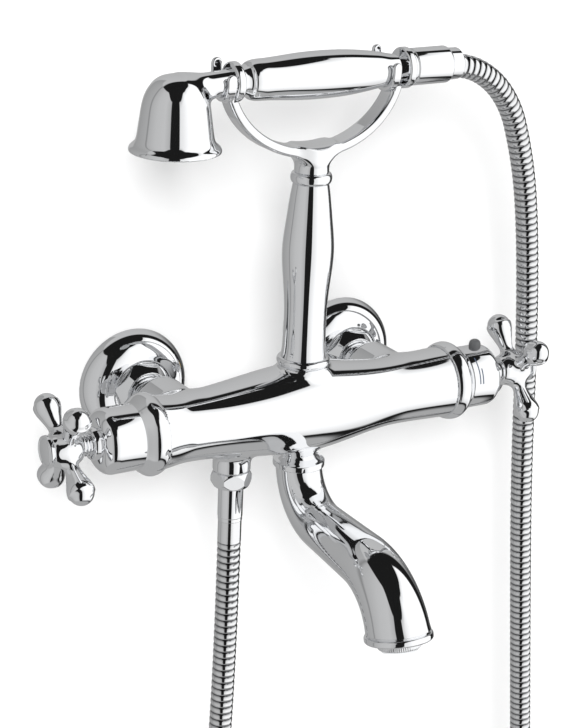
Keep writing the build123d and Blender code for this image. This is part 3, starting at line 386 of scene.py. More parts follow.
# %% The finishes of the mixer
METAL, PLAIN = 1.0, 0.0
FINISHES = {slot: finish(*look) for slot, look in {
    "chrome": ("polished_chrome", (0.90, 0.905, 0.915), (0.86, 0.87, 0.885), METAL, (0.025, 0.05), 90, 0.012),
    "fine": ("turned_chrome", (0.88, 0.885, 0.895), (0.84, 0.85, 0.865), METAL, (0.04, 0.09), 400, 0.02),
    "brass": ("machined_brass", (0.72, 0.56, 0.30), (0.64, 0.48, 0.24), METAL, (0.22, 0.38), 700, 0.1),
    "steel": ("spring_steel", (0.60, 0.60, 0.61), (0.50, 0.50, 0.52), METAL, (0.2, 0.34), 900, 0.08),
    "rubber": ("black_rubber", (0.035, 0.035, 0.037), (0.055, 0.055, 0.057), PLAIN, (0.55, 0.75), 1500, 0.2),
    "ceramic": ("lapped_ceramic", (0.86, 0.85, 0.81), (0.80, 0.79, 0.75), PLAIN, (0.12, 0.2), 300, 0.03),
    "grey_plastic": ("grey_plastic", (0.095, 0.097, 0.1), (0.075, 0.077, 0.08), PLAIN, (0.32, 0.46), 1800,
                     0.12),
    "white_plastic": ("white_plastic", (0.74, 0.75, 0.76), (0.68, 0.69, 0.70), PLAIN, (0.3, 0.42), 1600, 0.1),
}.items()}
chrome, fine_chrome = FINISHES["chrome"], FINISHES["fine"]
for part in frame["record"]["subparts"]:
    node = frame["nodes"][part["node"]]
    node.data.materials.clear()
    plated = part["node"] == "core_tube"  # its end shows in the groove of the long nut
    node.data.materials.append(chrome if plated else FINISHES[part["material_slot"]])
print(len(FINISHES), "finishes on", len(frame["nodes"]), "CAD pieces")

# %% [markdown]
# ## The hose
# A metal shower hose is a wound strip whose turns show as narrow rounded bands with a dark line
# between them. It leaves the ferrule under the bar, hangs down in a long loop, and rises behind
# the right handle to the hand shower. Its line is one smooth curve with a few control points. The
# bands are a tube whose radius swells and drops along that line, which bends with it, while a
# ring per band would leave wedge gaps in the bends.

# %% The line of the hose
HOSE_R, HOSE_LENGTH = 7.2, 1510.1
# the dark line in the groove is painted shade, which deepens with this depth
GROOVE = 0.85  # depth of the dark line between two bands
HOSE_SIDES = 26
HOSE_ROUTE = [
    (-47.0, -78.0, -64.9), (-47.0, -78.0, -150.0), (-50.5, -77.5, -255.0), (-56.0, -76.5, -355.0),
    (-53.0, -75.5, -440.0), (-34.0, -74.0, -516.0), (11.0, -72.0, -574.0), (74.0, -70.0, -598.0),
    (138.0, -68.0, -578.0), (184.0, -66.0, -524.0), (208.0, -64.0, -453.0), (213.5, -62.5, -376.0),
    (206.5, -61.3, -295.0), (196.6, -61.0, -191.0), (186.9, -61.0, -86.5), (180.6, -62.5, 13.2),
    (172.8, -65.5, 74.5), (163.9, -69.0, 118.3), (153.5, -72.2, 148.4), (142.8, -75.2, 171.9),
    (125.0, -77.3, 191.2), (101.0, -78.0, 202.0), (74.8, -78.0, 202.0),
]
curve = bpy.data.curves.new("hose_line", "CURVE")
curve.dimensions = "3D"
curve.resolution_u = 64
spline = curve.splines.new("NURBS")
spline.points.add(len(HOSE_ROUTE) - 1)
for point, place in zip(spline.points, HOSE_ROUTE):
    point.co = (*(v * MM for v in place), 1.0)
spline.order_u = 3
spline.use_endpoint_u = True
line_object = bpy.data.objects.new("hose_line", curve)
bpy.context.scene.collection.objects.link(line_object)
line_mesh = bpy.data.meshes.new_from_object(line_object)
line = np.empty(3 * len(line_mesh.vertices))
line_mesh.vertices.foreach_get("co", line)
line = line.reshape(-1, 3) / MM
bpy.data.objects.remove(line_object)
bpy.data.meshes.remove(line_mesh)
run = np.concatenate([[0], np.cumsum(np.linalg.norm(np.diff(line, axis=0), axis=1))])
print(f"hose line: {len(line)} points, {run[-1]:.0f} mm")


# %% Its bands
def carried(path, radius, reference, around):
    """Tube along a path: point + radius * (cos a * first + sin a * second), both across the path.

    The first side is the reference direction less its part along the path, so nothing twists.
    """
    heading = np.gradient(path, axis=0)
    heading /= np.linalg.norm(heading, axis=1)[:, None]
    first = np.array(reference, float) - heading * (heading @ np.array(reference, float))[:, None]
    first /= np.linalg.norm(first, axis=1)[:, None]
    second = np.cross(heading, first)
    angle = np.linspace(0, 2 * pi, around, endpoint=False)[None, :, None]
    radius = np.broadcast_to(radius, len(path))[:, None, None]
    return path[:, None] + radius * (np.cos(angle) * first[:, None] + np.sin(angle) * second[:, None])


BAND, BANDS_FROM = 4.3, 2 * HOSE_R
bands = int((run[-1] - 2 * BANDS_FROM) / BAND)
pitch = (run[-1] - 2 * BANDS_FROM) / bands
share = np.array([0.0, 0.09, 0.24, 0.5, 0.76, 0.91])
along = BANDS_FROM + (np.arange(bands)[:, None] + share).ravel() * pitch
swell = np.tile(HOSE_R - GROOVE * np.abs(2 * share - 1) ** 3.2, bands)
along = np.concatenate([[0.0, 0.5 * HOSE_R, BANDS_FROM - 0.3], along, [run[-1] - BANDS_FROM, run[-1]]])
swell = np.concatenate([[HOSE_R, HOSE_R, HOSE_R], swell, [HOSE_R - GROOVE, HOSE_R]])
path = np.stack([np.interp(along, run, line[:, k]) for k in range(3)], -1)
outside = carried(path, swell, (0, 1, 0), HOSE_SIDES)
closed = [np.repeat(path[end][None, None], HOSE_SIDES, axis=1) for end in (0, -1)]
grid = np.concatenate([closed[0], outside, closed[1]])
# painted shade: 0 on a band's crest, 1 at the bottom of its groove; the finish darkens with it
deep = np.clip((HOSE_R - np.concatenate([[HOSE_R], swell, [HOSE_R]])) / GROOVE, 0, 1) ** 0.9
faces = grid_faces(len(grid), HOSE_SIDES)
hose_mesh = mesh_of("shower_hose", grid.reshape(-1, 3), faces, np.repeat(deep, HOSE_SIDES))
print(bands, "bands", round(pitch, 2), "mm apart")


# %% [markdown]
# ## Painted shade on the hose
# The bands are polished like the rest, and the shade in the grooves between them is painted into
# their colour. The depth of each point under the crest is kept with the mesh, and the finish darkens
# with it as painted shade, so the dark lines stay in the grooves however the hose bends.

# %% Painted shade in the grooves
def shaded_in_grooves(name, lit_colour, painted_shade_colour, rough, grain=300):
    """Chrome with painted shade: it turns dark where the mesh says that a point lies deep."""
    material, tree, shader, coords = start_material(name)
    shader.inputs["Metallic"].default_value = 1.0
    depth = tree.nodes.new("ShaderNodeAttribute")
    depth.attribute_name = "depth"
    fine = noise(tree, coords, grain)
    tree.links.new(two_colours(tree, depth.outputs["Fac"], lit_colour, painted_shade_colour), shader.inputs["Base Color"])
    tree.links.new(between(tree, fine, *rough), shader.inputs["Roughness"])
    bump(tree, shader, fine, 0.02, 0.0001)
    return material


# painted shade: the crests stay bright chrome, and the bottoms of the grooves go nearly black
hose_chrome_painted_shade = shaded_in_grooves("hose_chrome_painted_shade", (0.84, 0.845, 0.855), (0.03, 0.032, 0.036), (0.05, 0.11))
hose = piece("shower_hose_bands", hose_mesh, hose_chrome_painted_shade, body=None, nodes=("shower_hose",), sharp=60)

# %% [markdown]
# ## The bar
# The mixer's body is one brass casting: a bar that swells in its middle and narrows to a waist
# towards each end, two arms that run to the wall, thick at the bar and slim at the nut, a boss that
# carries the column, a short neck for the spout and an outlet for the hose. Each is a body of
# revolution, and they melt together with the hollow fillets that a casting needs.


# %% The casting
def steps_between(x, knots):
    """Smooth height over a line: cubic ease between (place, height) knots, level at each knot."""
    places, heights = np.array(knots, float).T
    k = np.clip(np.searchsorted(places, x, side="right") - 1, 0, len(places) - 2)
    t = np.clip((x - places[k]) / (places[k + 1] - places[k]), 0, 1)
    return heights[k] + (heights[k + 1] - heights[k]) * t * t * (3 - 2 * t)


def rod(points, centre, axis, radius, start, end, edge=0.5):
    """Field of a round bar along one axis: distance to its axis less its radius, cut to its length."""
    main, first, second = AXES[axis]
    q = points - np.array(centre, float)
    along = q @ main
    wide = np.hypot(q @ first, q @ second)
    size = radius(along) if callable(radius) else radius
    return trimmed(wide - size, np.maximum(start - along, along - end), edge)


def casting(points):
    """Bar, arms, column boss, spout neck and hose outlet, melted into one another."""
    waist = [(-104, 22.5), (-82, 20.4), (0, 27.4), (64, 20.9), (105.5, 22.0)]
    metal = rod(points, BAR, "X", lambda a: steps_between(a, waist), -99.8, 101.2)
    arms = [((x, 0, 0), "Y", *sizes) for x in (-INLET_X, INLET_X) for sizes in (
        (17.3, -81, -32.5, 7.5, 6), (11.8, -50, -17.2, 0.5, 3), (12.8, -19.6, -17, 0.5, 0.6))]
    column_boss, spout_neck = (BAR, "Z", 15.0, 0, 27.7, 1.0, 4), (BAR, "Z", 8.4, -37.6, 0, 0.5, 9)
    outlet = [(OUTLET, "Z", 11.4, -32.5, 0, 1.2, 5), (OUTLET, "Z", 9.6, -37.5, 0, 0.5, 0.6)]
    for centre, axis, radius, start, end, edge, fillet in (*arms, column_boss, spout_neck, *outlet):
        metal = melted(metal, rod(points, centre, axis, radius, start, end, edge), fillet)
    return metal


cast("bar_casting", casting, (-102, -108, -40), (103.5, -15, 30), 1.05, chrome, nodes=("valve_body",))
bead = flowing([(0, 22.2), (0.15, 22.8), (1.0, 23.4), (2.1, 23.95), (3.8, 24.45), (5.4, 24.6), (7.4, 24.3),
                (9.0, 23.4), (11.2, 21.7), (13.4, 20.0)], 56)
for sign, name in ((-1, "left"), (1, "right")):
    start = 99.6 if sign < 0 else 101.0
    rim = np.concatenate([[(0, 17.6), (0, 21.4)], bead, [(14.1, 19.3), (14.1, 17.6)]])[::-1] + (start, 0)
    rim[:, 0] *= sign
    lathed(f"beads_{name}", rim, "X", BAR, 128, chrome, ring=True, nodes=(f"bead_ring_{name}",))

# %% [markdown]
# ## Flanges, nuts and the arms' joints
# A domed flange hides the hole in the tiles. Its section starts at a round shoulder on the wall,
# runs over a broad front and rolls into a mouth round the nut. It is pressed from sheet, so its
# wall is thin and it has an inside, which shows through the mouth. A nut is a hexagon whose corners
# were turned down, which is a hexagon and two cones trimmed against each other. The union nut also
# has a round collar that fills the flange's mouth.


# %% Flanges and hexagon nuts
def hexagon(points, centre, axis, flats, start, end, turn, face):
    """Field of a hexagon bar: the largest of three pairs of flats, with corners turned to cones."""
    main, first, second = AXES[axis]
    q = points - np.array(centre, float)
    along = q @ main
    u, v = q @ first, q @ second
    field = np.full(along.shape, -1e3)
    for k in range(3):
        a = radians(60 * k + turn)
        field = np.maximum(field, np.abs(u * cos(a) + v * sin(a)) - flats / 2)
    middle, reach = (start + end) / 2, (end - start) / 2
    cone = np.hypot(u, v) - face + (np.abs(along - middle) - reach) * 0.6
    field = trimmed(field, cone, 0.3)
    return trimmed(field, np.abs(along - middle) - reach, 0.5)


outer = [(0, 35.2), (-7.0, 33.5), (-12.0, 29.7), (-14.8, 25.0), (-16.2, 19.6)]
lip = [(-16.15, 19.35), (-15.9, 19.25), (-15.0, 19.3), (-14.4, 19.9)]
inner = [(-13.9, 20.8), (-13.4, 24.6), (-11.2, 28.6), (-6.4, 32.2), (0, 33.7)]
shell = np.concatenate([flowing(outer, 40, (-1, 0), (-0.28, -1)), lip, flowing(inner, 30, (-0.1, 1), (1, 0))])
web = softened([(-1.6, 13.4), (-3.2, 13.4), (-3.2, 32.0), (-1.6, 32.0)], 0.3)
def union_nut(points, x):
    """Bored hexagon with a round collar towards the wall."""
    head = hexagon(points, (x, 0, 0), "Y", 33.8, -23.6, -5.0, 12, 14.2)
    collar = rod(points, (x, 0, 0), "Y", 18.9, -15.6, -5.0, 0.8)
    bore = np.hypot(points[..., 0] - x, points[..., 2]) - 11.95
    return trimmed(melted(head, collar, 0.8), -bore, 0.3)


def lower_nut(points):
    """Bored hexagon under the hose's outlet."""
    head = hexagon(points, OUTLET, "Z", 21.8, -42.5, -32.6, 10, 10.6)
    bore = np.hypot(points[..., 0] - OUTLET[0], points[..., 1] - OUTLET[1]) - 6.35
    return trimmed(head, -bore, 0.2)


for x, name in ((-INLET_X, "left"), (INLET_X, "right")):
    facts = {"ring": True, "nodes": (f"wall_flange_{name}",)}
    lathed(f"flange_{name}", shell, "Y", (x, 0, 0), 128, chrome, **facts)
    lathed(f"flange_seat_{name}", web, "Y", (x, 0, 0), 96, fine_chrome, **facts)
    cast(f"union_nut_{name}_hexagon", lambda p: union_nut(p, x), (x - 20, -24, -20), (x + 20, -4, 20), 0.6,
         chrome, nodes=(f"union_nut_{name}",))
cast("lower_nut_hexagon", lower_nut, (-61, -92, -43.5), (-33, -64, -31.6), 0.45, chrome,
     nodes=("hose_lower_nut",))
ferrule = softened([(-64.9, 4.5), (-64.9, 7.4), (-62.6, 7.4), (-62.2, 7.6), (-42.9, 7.6), (-42.5, 6.3),
                    (-40.6, 6.3), (-40.6, 4.5)], 0.4)
lower_end = lathed("ferrule_sleeve", ferrule, "Z", OUTLET, 64, chrome, ring=True,
                   nodes=("hose_lower_ferrule",))

# %% [markdown]
# ## Handle sleeves
# Right and left of the bar, a round sleeve with a soft shoulder hides the cartridge. Both are
# turned. The left one closes with a low boss, with the head of its grub screw let in on top; the
# right one narrows to a neck and carries a fine engraved scale, filled with blue-grey paint.


# %% Sleeves
def shoulder(start, wide, end, low, round_r=8.0):
    """Outline of a sleeve: straight, then a quarter of an ellipse down to the boss or neck."""
    bend = np.radians(np.linspace(90, 8, 14))
    across = wide - low
    corner = np.stack([end - round_r + round_r * np.cos(bend), low + across * np.sin(bend)], -1)
    return [(start, wide - 0.5), (start + 0.25, wide - 0.1), (start + 0.7, wide), *corner]


left = shoulder(113.0, 19.5, 137.4, 10.6) + [(137.6, 9.9), (140.2, 9.6), (140.9, 9.0), (141.0, 6.2)]
left = np.array(left + [(138.0, 6.2), (136.0, 12.0), (130.0, 17.6), (113.0, 17.8)])
left[:, 0] *= -1
sleeve = lathed("left_sleeve", left, "X", BAR, 144, chrome, ring=True, nodes=("left_bell_cover",), sharp=50)
right = shoulder(115.1, 19.5, 139.6, 7.6) + [(139.9, 7.2), (146.9, 7.0), (147.5, 6.5), (147.5, 5.2)]
right = np.array(right + [(139.0, 5.2), (137.0, 12.0), (132.0, 17.6), (115.1, 17.8)])
lathed("right_sleeve", right, "X", BAR, 144, chrome, ring=True, body="temperature_handle",
       nodes=("temperature_sleeve",), sharp=50)

stem = [(-149.0, 0), (-149.0, 5.6), (-148.7, 6.2)]
for k in range(4):
    low = -148.4 + 2.1 * k
    stem += [(low, 6.5), (low + 1.0, 6.5), (low + 1.25, 4.9), (low + 1.9, 4.9)]
stem += [(-139.7, 6.2), (-139.7, 0)]
stem = softened(stem, 0.2, 3)
lathed("grooved_stem", stem, "X", BAR, 64, chrome, body="flow_handle", nodes=("flow_stem",))

# %% [markdown]
# ## Cross handles
# Each handle is a small casting: a hub with a thick front edge and four arms that leave it with a
# wide foot, draw in to a waist and end in a polished drop. The arms melt into the hub and, at
# their feet, into one another. The cap in the middle is a low dome that was pressed in afterwards.


# %% Crosses and caps
DROP_R, DROP_AT = 7.35, 29.4  # the ball at the end of an arm, and how far out it sits
HUB_R, HUB_DRAWN = 10.0, 2.2  # the hub's radius, and how much less it is at its ends
ARM_LINE = flowing([(0, 5.4), (6, 4.9), (11.5, 4.2), (17, 4.9), (22.5, 6.5), (27.5, 7.35), (31, 7.4)], 900)


def drop_arm(points, centre, angle):
    """Field of one arm: a round bar in the plane of the cross whose radius changes along it."""
    q = points - np.array(centre, float)
    out = q[..., 1] * cos(angle) + q[..., 2] * sin(angle)
    aside = -q[..., 1] * sin(angle) + q[..., 2] * cos(angle)
    bar = np.hypot(aside, q[..., 0]) - np.interp(out, ARM_LINE[:, 0], ARM_LINE[:, 1])
    ball = np.sqrt(q[..., 0] ** 2 + aside ** 2 + (out - DROP_AT) ** 2) - DROP_R
    bar = trimmed(bar, np.maximum(-out, out - DROP_AT), 0.5)
    return melted(bar, ball, 3.0)


def cross(points, centre, turn, back, front):
    """Barrel hub and four arms of a handle; back and front are the hub's ends along the spindle."""
    q = points - np.array(centre, float)
    off = np.abs(q[..., 0] - (back + front) / 2)
    barrel = np.hypot(q[..., 1], q[..., 2]) - HUB_R + HUB_DRAWN * (off / (front - back) * 2) ** 4
    metal = trimmed(barrel, off - (front - back) / 2, 1.6)
    for k in range(4):
        metal = melted(metal, drop_arm(points, centre, radians(turn + 90 * k)), 5.0)
    return metal


def handle_cross(name, x, turn, sign, body, node):
    """Casts one cross handle in place on its spindle."""
    back, front, reach = (-9.8 if sign < 0 else -13.0), 9.8, 38.0
    cast(name, lambda p: cross(p, (x, -78, 0), turn, back, front),
         (x - 14, -78 - reach, -reach), (x + 11, -78 + reach, reach), 0.8, chrome, body=body, nodes=(node,))


handle_cross("left_cross", -156.5, 37.4, -1, "flow_handle", "flow_cross")
handle_cross("right_cross", 159.0, 52.0, 1, "temperature_handle", "temperature_cross")
face = [(2.9 - 0.9 * (r / 7.3) ** 2, r) for r in np.linspace(0, 7.3, 10)]
rim = [(1.6, 7.6), (1.65, 7.9), (2.2, 8.15), (2.25, 8.6), (1.9, 9.2), (1.2, 9.5), (0.1, 9.5), (0, 9.3),
       (0, 0)]
for sign, x, hand in ((-1, 166.3, "flow"), (1, 168.8, "temperature")):
    outline = (np.array(face + rim) + (x, 0)) * (sign, 1)
    lathed(f"{hand}_cap_dome", outline, "X", BAR, 96, chrome, body=f"{hand}_handle",
           nodes=(f"{hand}_cap",), sharp=60)

# %% [markdown]
# ## Column
# The post is turned like a baluster: a thick bead at its foot, a slim waist, a belly above the
# middle, and a second bead on top. It is hollow only at its threads, so it is one closed outline.

# %% The post and its beads
def half_bead(start, length, radius, proud):
    """Outline of a bead: half of an ellipse over a stretch of the post."""
    share = np.linspace(0, 1, 17)
    swell = np.sqrt(np.clip(1 - (2 * share - 1) ** 2, 0, 1))
    return np.stack([start + length * share, radius + proud * swell], -1)


foot = half_bead(27.7, 5.0, 13.6, 2.4)
knots = [(32.9, 13.8), (45, 12.8), (58, 12.6), (78, 13.8), (99, 15.2), (118, 13.4), (138.9, 10.5)]
post = flowing(knots, 70, (1, -0.25), (1, -0.2))
crown = half_bead(139.0, 6.5, 10.3, 1.9)
outline = np.concatenate([[(27.7, 0)], foot, post, crown, [(145.5, 0)]])
lathed("turned_post", outline, "Z", BAR, 144, chrome, nodes=("column", "column_bead"), sharp=40)

# %% [markdown]
# ## The fork
# A crescent carries the hand shower: half of an ellipse, flat in front, that grows out of a round
# post with wide hollow corners. At each end a strap hooks round the hand shower, its back prong
# taller than its front one. It is one casting, so it is one field again.


# %% The crescent and its hooks
BACK_PRONG, FRONT_PRONG = 11.9, 5.2
HOOKS = ((-59.6, 7.8, 6.3, 2.6), (48.0, 9.8, 5.6, 3.0))  # place, inner radius, width, thickness
FORK_TOP, FORK_HIGH, FORK_LEFT, FORK_RIGHT = 205.8, 48, 58.2, 55.6  # centre and half axes of the ellipse


def hook(points, x, inner, wide, thick):
    """Field of a U-shaped strap round the hand shower, with a tall back prong and a low front one."""
    q = points - (np.array(SHOWER) + (x, 0, 0))
    away = np.hypot(q[..., 1], np.minimum(q[..., 2], 0)) - (inner + thick / 2)
    rise = q[..., 2] - np.where(q[..., 1] > 0, BACK_PRONG, FRONT_PRONG) + 2.4
    tip = np.hypot(np.maximum(rise, 0), q[..., 0]) - wide / 2
    return trimmed(np.abs(away) - thick / 2, tip, 1.2)


def crescent(points):
    """Post, half ellipse and two hooks; the ellipse's distance is k0 (k0 - 1) / k1."""
    q = points - np.array([0.0, -78.0, FORK_TOP])
    reach = np.where(q[..., 0] > 0, FORK_RIGHT, FORK_LEFT)
    deep = np.abs(q[..., 1]) - 7.5 + 1.1 * np.clip((q[..., 2] + 40) / 28, 0, 1)
    k0 = np.hypot(q[..., 0] / reach, q[..., 2] / FORK_HIGH)
    k1 = np.hypot(q[..., 0] / reach ** 2, q[..., 2] / FORK_HIGH ** 2)
    across = k0 * (k0 - 1) / np.maximum(k1, 1e-6)
    band = trimmed(trimmed(np.abs(across) - 3.0, deep, 2.9), q[..., 2] + 12.4, 1.5)
    post = rod(points, BAR, "Z", lambda a: 10.2 + 0.05 * np.maximum(a - 150, 0), 145.5, 164, 0.4)
    post = trimmed(post, -across - 2.0, 1.0)
    metal = melted(band, post, 7.5)
    for x, inner, wide, thick in HOOKS:
        grown = melted(metal, hook(points, x, inner, wide, thick), 2.2)
        open_r = np.where(points[..., 0] > -56.4, np.maximum(inner, 11.7 * (x < 0)), inner)
        round_x = np.hypot(points[..., 1] + 78, np.minimum(points[..., 2] - 202, 0)) - open_r
        metal = np.maximum(grown, np.where(np.abs(points[..., 0] - x) < 10, -round_x, -50.0))
    return metal


cast("crescent_fork", crescent, (-64, -93, 144.5), (64, -61, 216), 0.75, chrome, nodes=("fork",))

# %% [markdown]
# ## Hand shower
# The head is a spun bell with a flared rim. Its side swells smoothly into the neck, which a lathe
# can't make, so bell and neck are one field: the bell's squared radius is a smooth function of the
# height, and dividing by the slope turns that into an even distance. The grip is turned wood's
# shape in brass: a quick shoulder, a full middle, a long taper.


# %% Bell, neck, ring, grip and nut
BELL = [(-36.0, 26.0), (-34.4, 25.85), (-31.5, 23.2), (-26, 21.3), (-16, 19.9), (-5, 17.6), (0.5, 14.6),
        (4.5, 10.5), (6.4, 5.4), (6.9, 0.0)]
squares = flowing([(height, radius ** 2 / 40) for height, radius in BELL], 3000)
squares = squares[np.argsort(squares[:, 0])] * (1, 40)
squares = np.concatenate([squares, [(12.0, -300.0)]])


def bell_field(points):
    """Even distance to the bell: (r^2 - Q(z)) divided by its slope, where Q is the radius squared."""
    q = points - (np.array(SHOWER) + (BELL_X, 0, 0))
    wide = q[..., 0] ** 2 + q[..., 1] ** 2
    height = np.maximum(q[..., 2], -36.0)
    square = np.interp(height, *squares.T)
    steep = (np.interp(height + 0.2, *squares.T) - np.interp(height - 0.2, *squares.T)) / 0.4
    return (wide - square) / np.sqrt(4 * wide + steep ** 2 + 1.0)


def shower_head(points):
    """Bell shell with its rounded rim, and the neck that melts into its side."""
    q = points - (np.array(SHOWER) + (BELL_X, 0, 0))
    outside = bell_field(points)
    reach = points[..., 0] - BELL_X
    fall = 1.4 * np.clip((36 - reach) / 24, 0, 1.3)
    thick = 7.6 - 0.3 * np.clip((36 - reach) / 24, 0, 1.3)
    neck = np.hypot(q[..., 1], q[..., 2] + fall) - thick
    neck = trimmed(neck, np.maximum(6.0 - reach, reach - 34.0), 0.3)
    metal = melted(outside, neck, 6.0)
    hollow = trimmed(outside + 1.5, q[..., 2] + 3.0, 4.0)
    metal = trimmed(metal, -hollow, 0.5)
    return trimmed(metal, -36.0 - q[..., 2], 0.8)


cast("bell_and_neck", shower_head, (-117, -106, 165), (-49, -50, 211), 0.85, chrome, body="hand_shower",
     nodes=("shower_bell",))
ring_line = [(-56.2, 7.6), (-56.15, 10.2), (-55.7, 11.0), (-53.8, 11.4), (-51.9, 11.3), (-51.1, 10.6),
             (-50.9, 8.9)]
ring_line = np.concatenate([[(-56.2, 6.2)], flowing(ring_line, 30), [(-50.9, 6.2)]])
facts = {"ring": True, "body": "hand_shower", "sharp": 50}
lathed("neck_ring", ring_line, "X", SHOWER, 96, chrome, nodes=("shower_ring",), **facts)
cove = flowing([(-50.9, 9.2), (-50.0, 8.2), (-47.2, 8.2), (-45.2, 9.2), (-44.4, 10.5)], 18)
handle = flowing([(-44.4, 10.5), (-36, 11.8), (-14, 13.2), (4, 13.68), (24, 12.8), (36, 11.4), (43, 10.3),
                  (49, 9.0), (53.4, 8.3)], 100, (1, 0.5), (1, -0.15))
grip_line = np.concatenate([[(-50.9, 6.2)], cove, handle[1:], [(53.6, 6.5), (58.0, 6.5), (58.0, 6.2)]])
lathed("turned_grip", grip_line, "X", SHOWER, 128, chrome, nodes=("shower_grip",), **facts)
nut = softened([
    (57.5, 6.6), (57.5, 11.2), (58.3, 12.0), (61.6, 12.0), (62.3, 11.3), (62.5, 10.2), (64.4, 10.2),
    (64.8, 10.9), (88.6, 10.9), (90.0, 9.5), (97.5, 9.3), (97.5, 7.4), (89.0, 7.4), (87.0, 9.2),
    (60.0, 9.2), (59.4, 6.6),
], 0.4, 5)
lathed("long_nut", nut, "X", SHOWER, 112, chrome, nodes=("hose_upper_nut",), **facts)

# %% [markdown]
# ## Spout
# The spout is a tube bent twice, drawn out wider towards its mouth: first a bend outwards, then a
# nearly level run, then a long bend down. A ring of growing radius is carried along that line. Near
# the collar it is cut level. At the mouth a groove and a rolled lip finish it, and the aerator's
# knurled rim looks out below.


# %% Bent tube
FIRST_R, STRAIGHT, SECOND_R = 33.4, 44.0, 45.2  # radius of the first bend, level run, second bend
LEAN = 13.7  # where the visible tube starts in its first bend, in degrees


def spout_line():
    """Line of the spout as (out, height), and how far each point lies along it from 0 to 1."""
    turn = np.radians(np.linspace(LEAN, 87, 34))
    first = np.stack([FIRST_R - FIRST_R * np.cos(turn), -FIRST_R - FIRST_R * np.sin(turn)], -1)
    ahead = np.array([np.sin(turn[-1]), -np.cos(turn[-1])])
    second = first[-1] + np.linspace(0, STRAIGHT, 16)[1:, None] * ahead
    down = np.radians(np.linspace(3, 75, 42)[1:])
    third = np.stack([np.sin(down) - sin(radians(3)), np.cos(down) - cos(radians(3))], -1)
    line = np.concatenate([first, second, second[-1] + SECOND_R * third])
    whole = FIRST_R * radians(87) + STRAIGHT + SECOND_R * radians(72)
    run = FIRST_R * radians(LEAN) + np.concatenate([[0], np.cumsum(np.hypot(*np.diff(line, axis=0).T))])
    return line, run / whole


flat_line, share = spout_line()
centres = np.stack([np.zeros(len(flat_line)), -78 - flat_line[:, 0], flat_line[:, 1]], -1)
radii = 14.0 + 5.2 * share ** 1.6
rings = carried(centres, radii, (1, 0, 0), 128)
lead = np.array([0, -sin(radians(LEAN)), -cos(radians(LEAN))])
level_ring = rings[0] + ((rings[0][:, 2] + 38.0) / cos(radians(LEAN)))[:, None] * lead
mouth = centres[-1]
outwards = np.array([0.0, -0.2588, -0.9659])
MOUTH = np.array([outwards, [1, 0, 0], np.cross(outwards, [1, 0, 0])])
lip = softened([
    (-5.5, 19.1), (-5.1, 18.0), (-4.3, 18.0), (-4.0, 19.8), (-3.2, 20.15), (-0.9, 20.15), (0.0, 19.3),
    (0.0, 13.4), (-0.6, 13.1), (-7.0, 13.1), (-7.0, 0.0),
], 0.4, 5)
lip_points, _ = turned(lip, MOUTH, mouth, 128)
lip_rings = lip_points.reshape(len(lip), 128, 3)
keep = (centres - mouth) @ -outwards > 5.6
body_rings = rings[keep]
top_pole = np.repeat(level_ring.mean(axis=0)[None, None], 128, axis=1)
grid = np.concatenate([top_pole, level_ring[None], body_rings, lip_rings])
seam = np.linalg.norm(lip_rings[0][0] - body_rings[-1][0])
print("lip starts beside the tube's seam:", round(float(seam), 2), "mm")
mesh = mesh_of("bent_spout", grid.reshape(-1, 3), grid_faces(len(grid), 128))
piece("bent_spout", mesh, chrome, body="swivel_spout", nodes=("spout",), sharp=38)
collar = softened([
    (-37.7, 8.65), (-37.7, 15.3), (-37.2, 15.8), (-34.3, 15.8), (-33.7, 15.3), (-33.3, 13.2), (-31.6, 10.9),
    (-29.8, 9.7), (-28.3, 9.3), (-28.3, 8.65),
], 0.5, 6)
lathed("spout_rim", collar, "Z", BAR, 128, chrome, ring=True, nodes=("spout_collar",), sharp=50)

# %% [markdown]
# ## Aerator
# The aerator is a turned cartridge whose rim has fine teeth for the fingers. The teeth are a wave
# in the radius. From below it shows a mesh of fine holes, which stays the CAD piece inside.

# %% Knurled rim
knurl = softened([(-6.4, 12.2), (-6.4, 12.85), (3.6, 12.85), (4.3, 12.3), (4.5, 11.4), (4.0, 10.75),
                  (-6.4, 10.75)], 0.3, 4)
knurl_points, knurl_faces = turned(knurl, MOUTH, mouth, 480, ring=True)
knurl_points = knurl_points.reshape(len(knurl), 480, 3)
spoke = knurl_points - (mouth + ((knurl_points - mouth) @ outwards)[..., None] * outwards)
reach = np.linalg.norm(spoke, axis=-1)
depth_along = ((knurl_points - mouth) @ outwards)
tooth = 0.28 * (0.5 + 0.5 * np.cos(np.linspace(0, 60 * 2 * pi, 480, endpoint=False))) ** 2
tooth = tooth * (np.abs(reach - 12.8) < 0.35) * (depth_along > 0.4)
knurl_points = knurl_points - spoke / reach[..., None] * tooth[..., None]
mesh = mesh_of("aerator_rim", knurl_points.reshape(-1, 3), knurl_faces)
piece("aerator_rim", mesh, fine_chrome, body="swivel_spout", nodes=("aerator_housing",), sharp=40)

# %% [markdown]
# ## Engraved scale and grub screw
# Beside the bead, the right sleeve carries one long engraved line and a short one. They are filled
# with blue-grey paint, which stands a twentieth of a millimetre over the metal. The grub screw on
# the left sleeve sits in a bored hole: the sleeve's mesh is bored by a boolean once and kept.


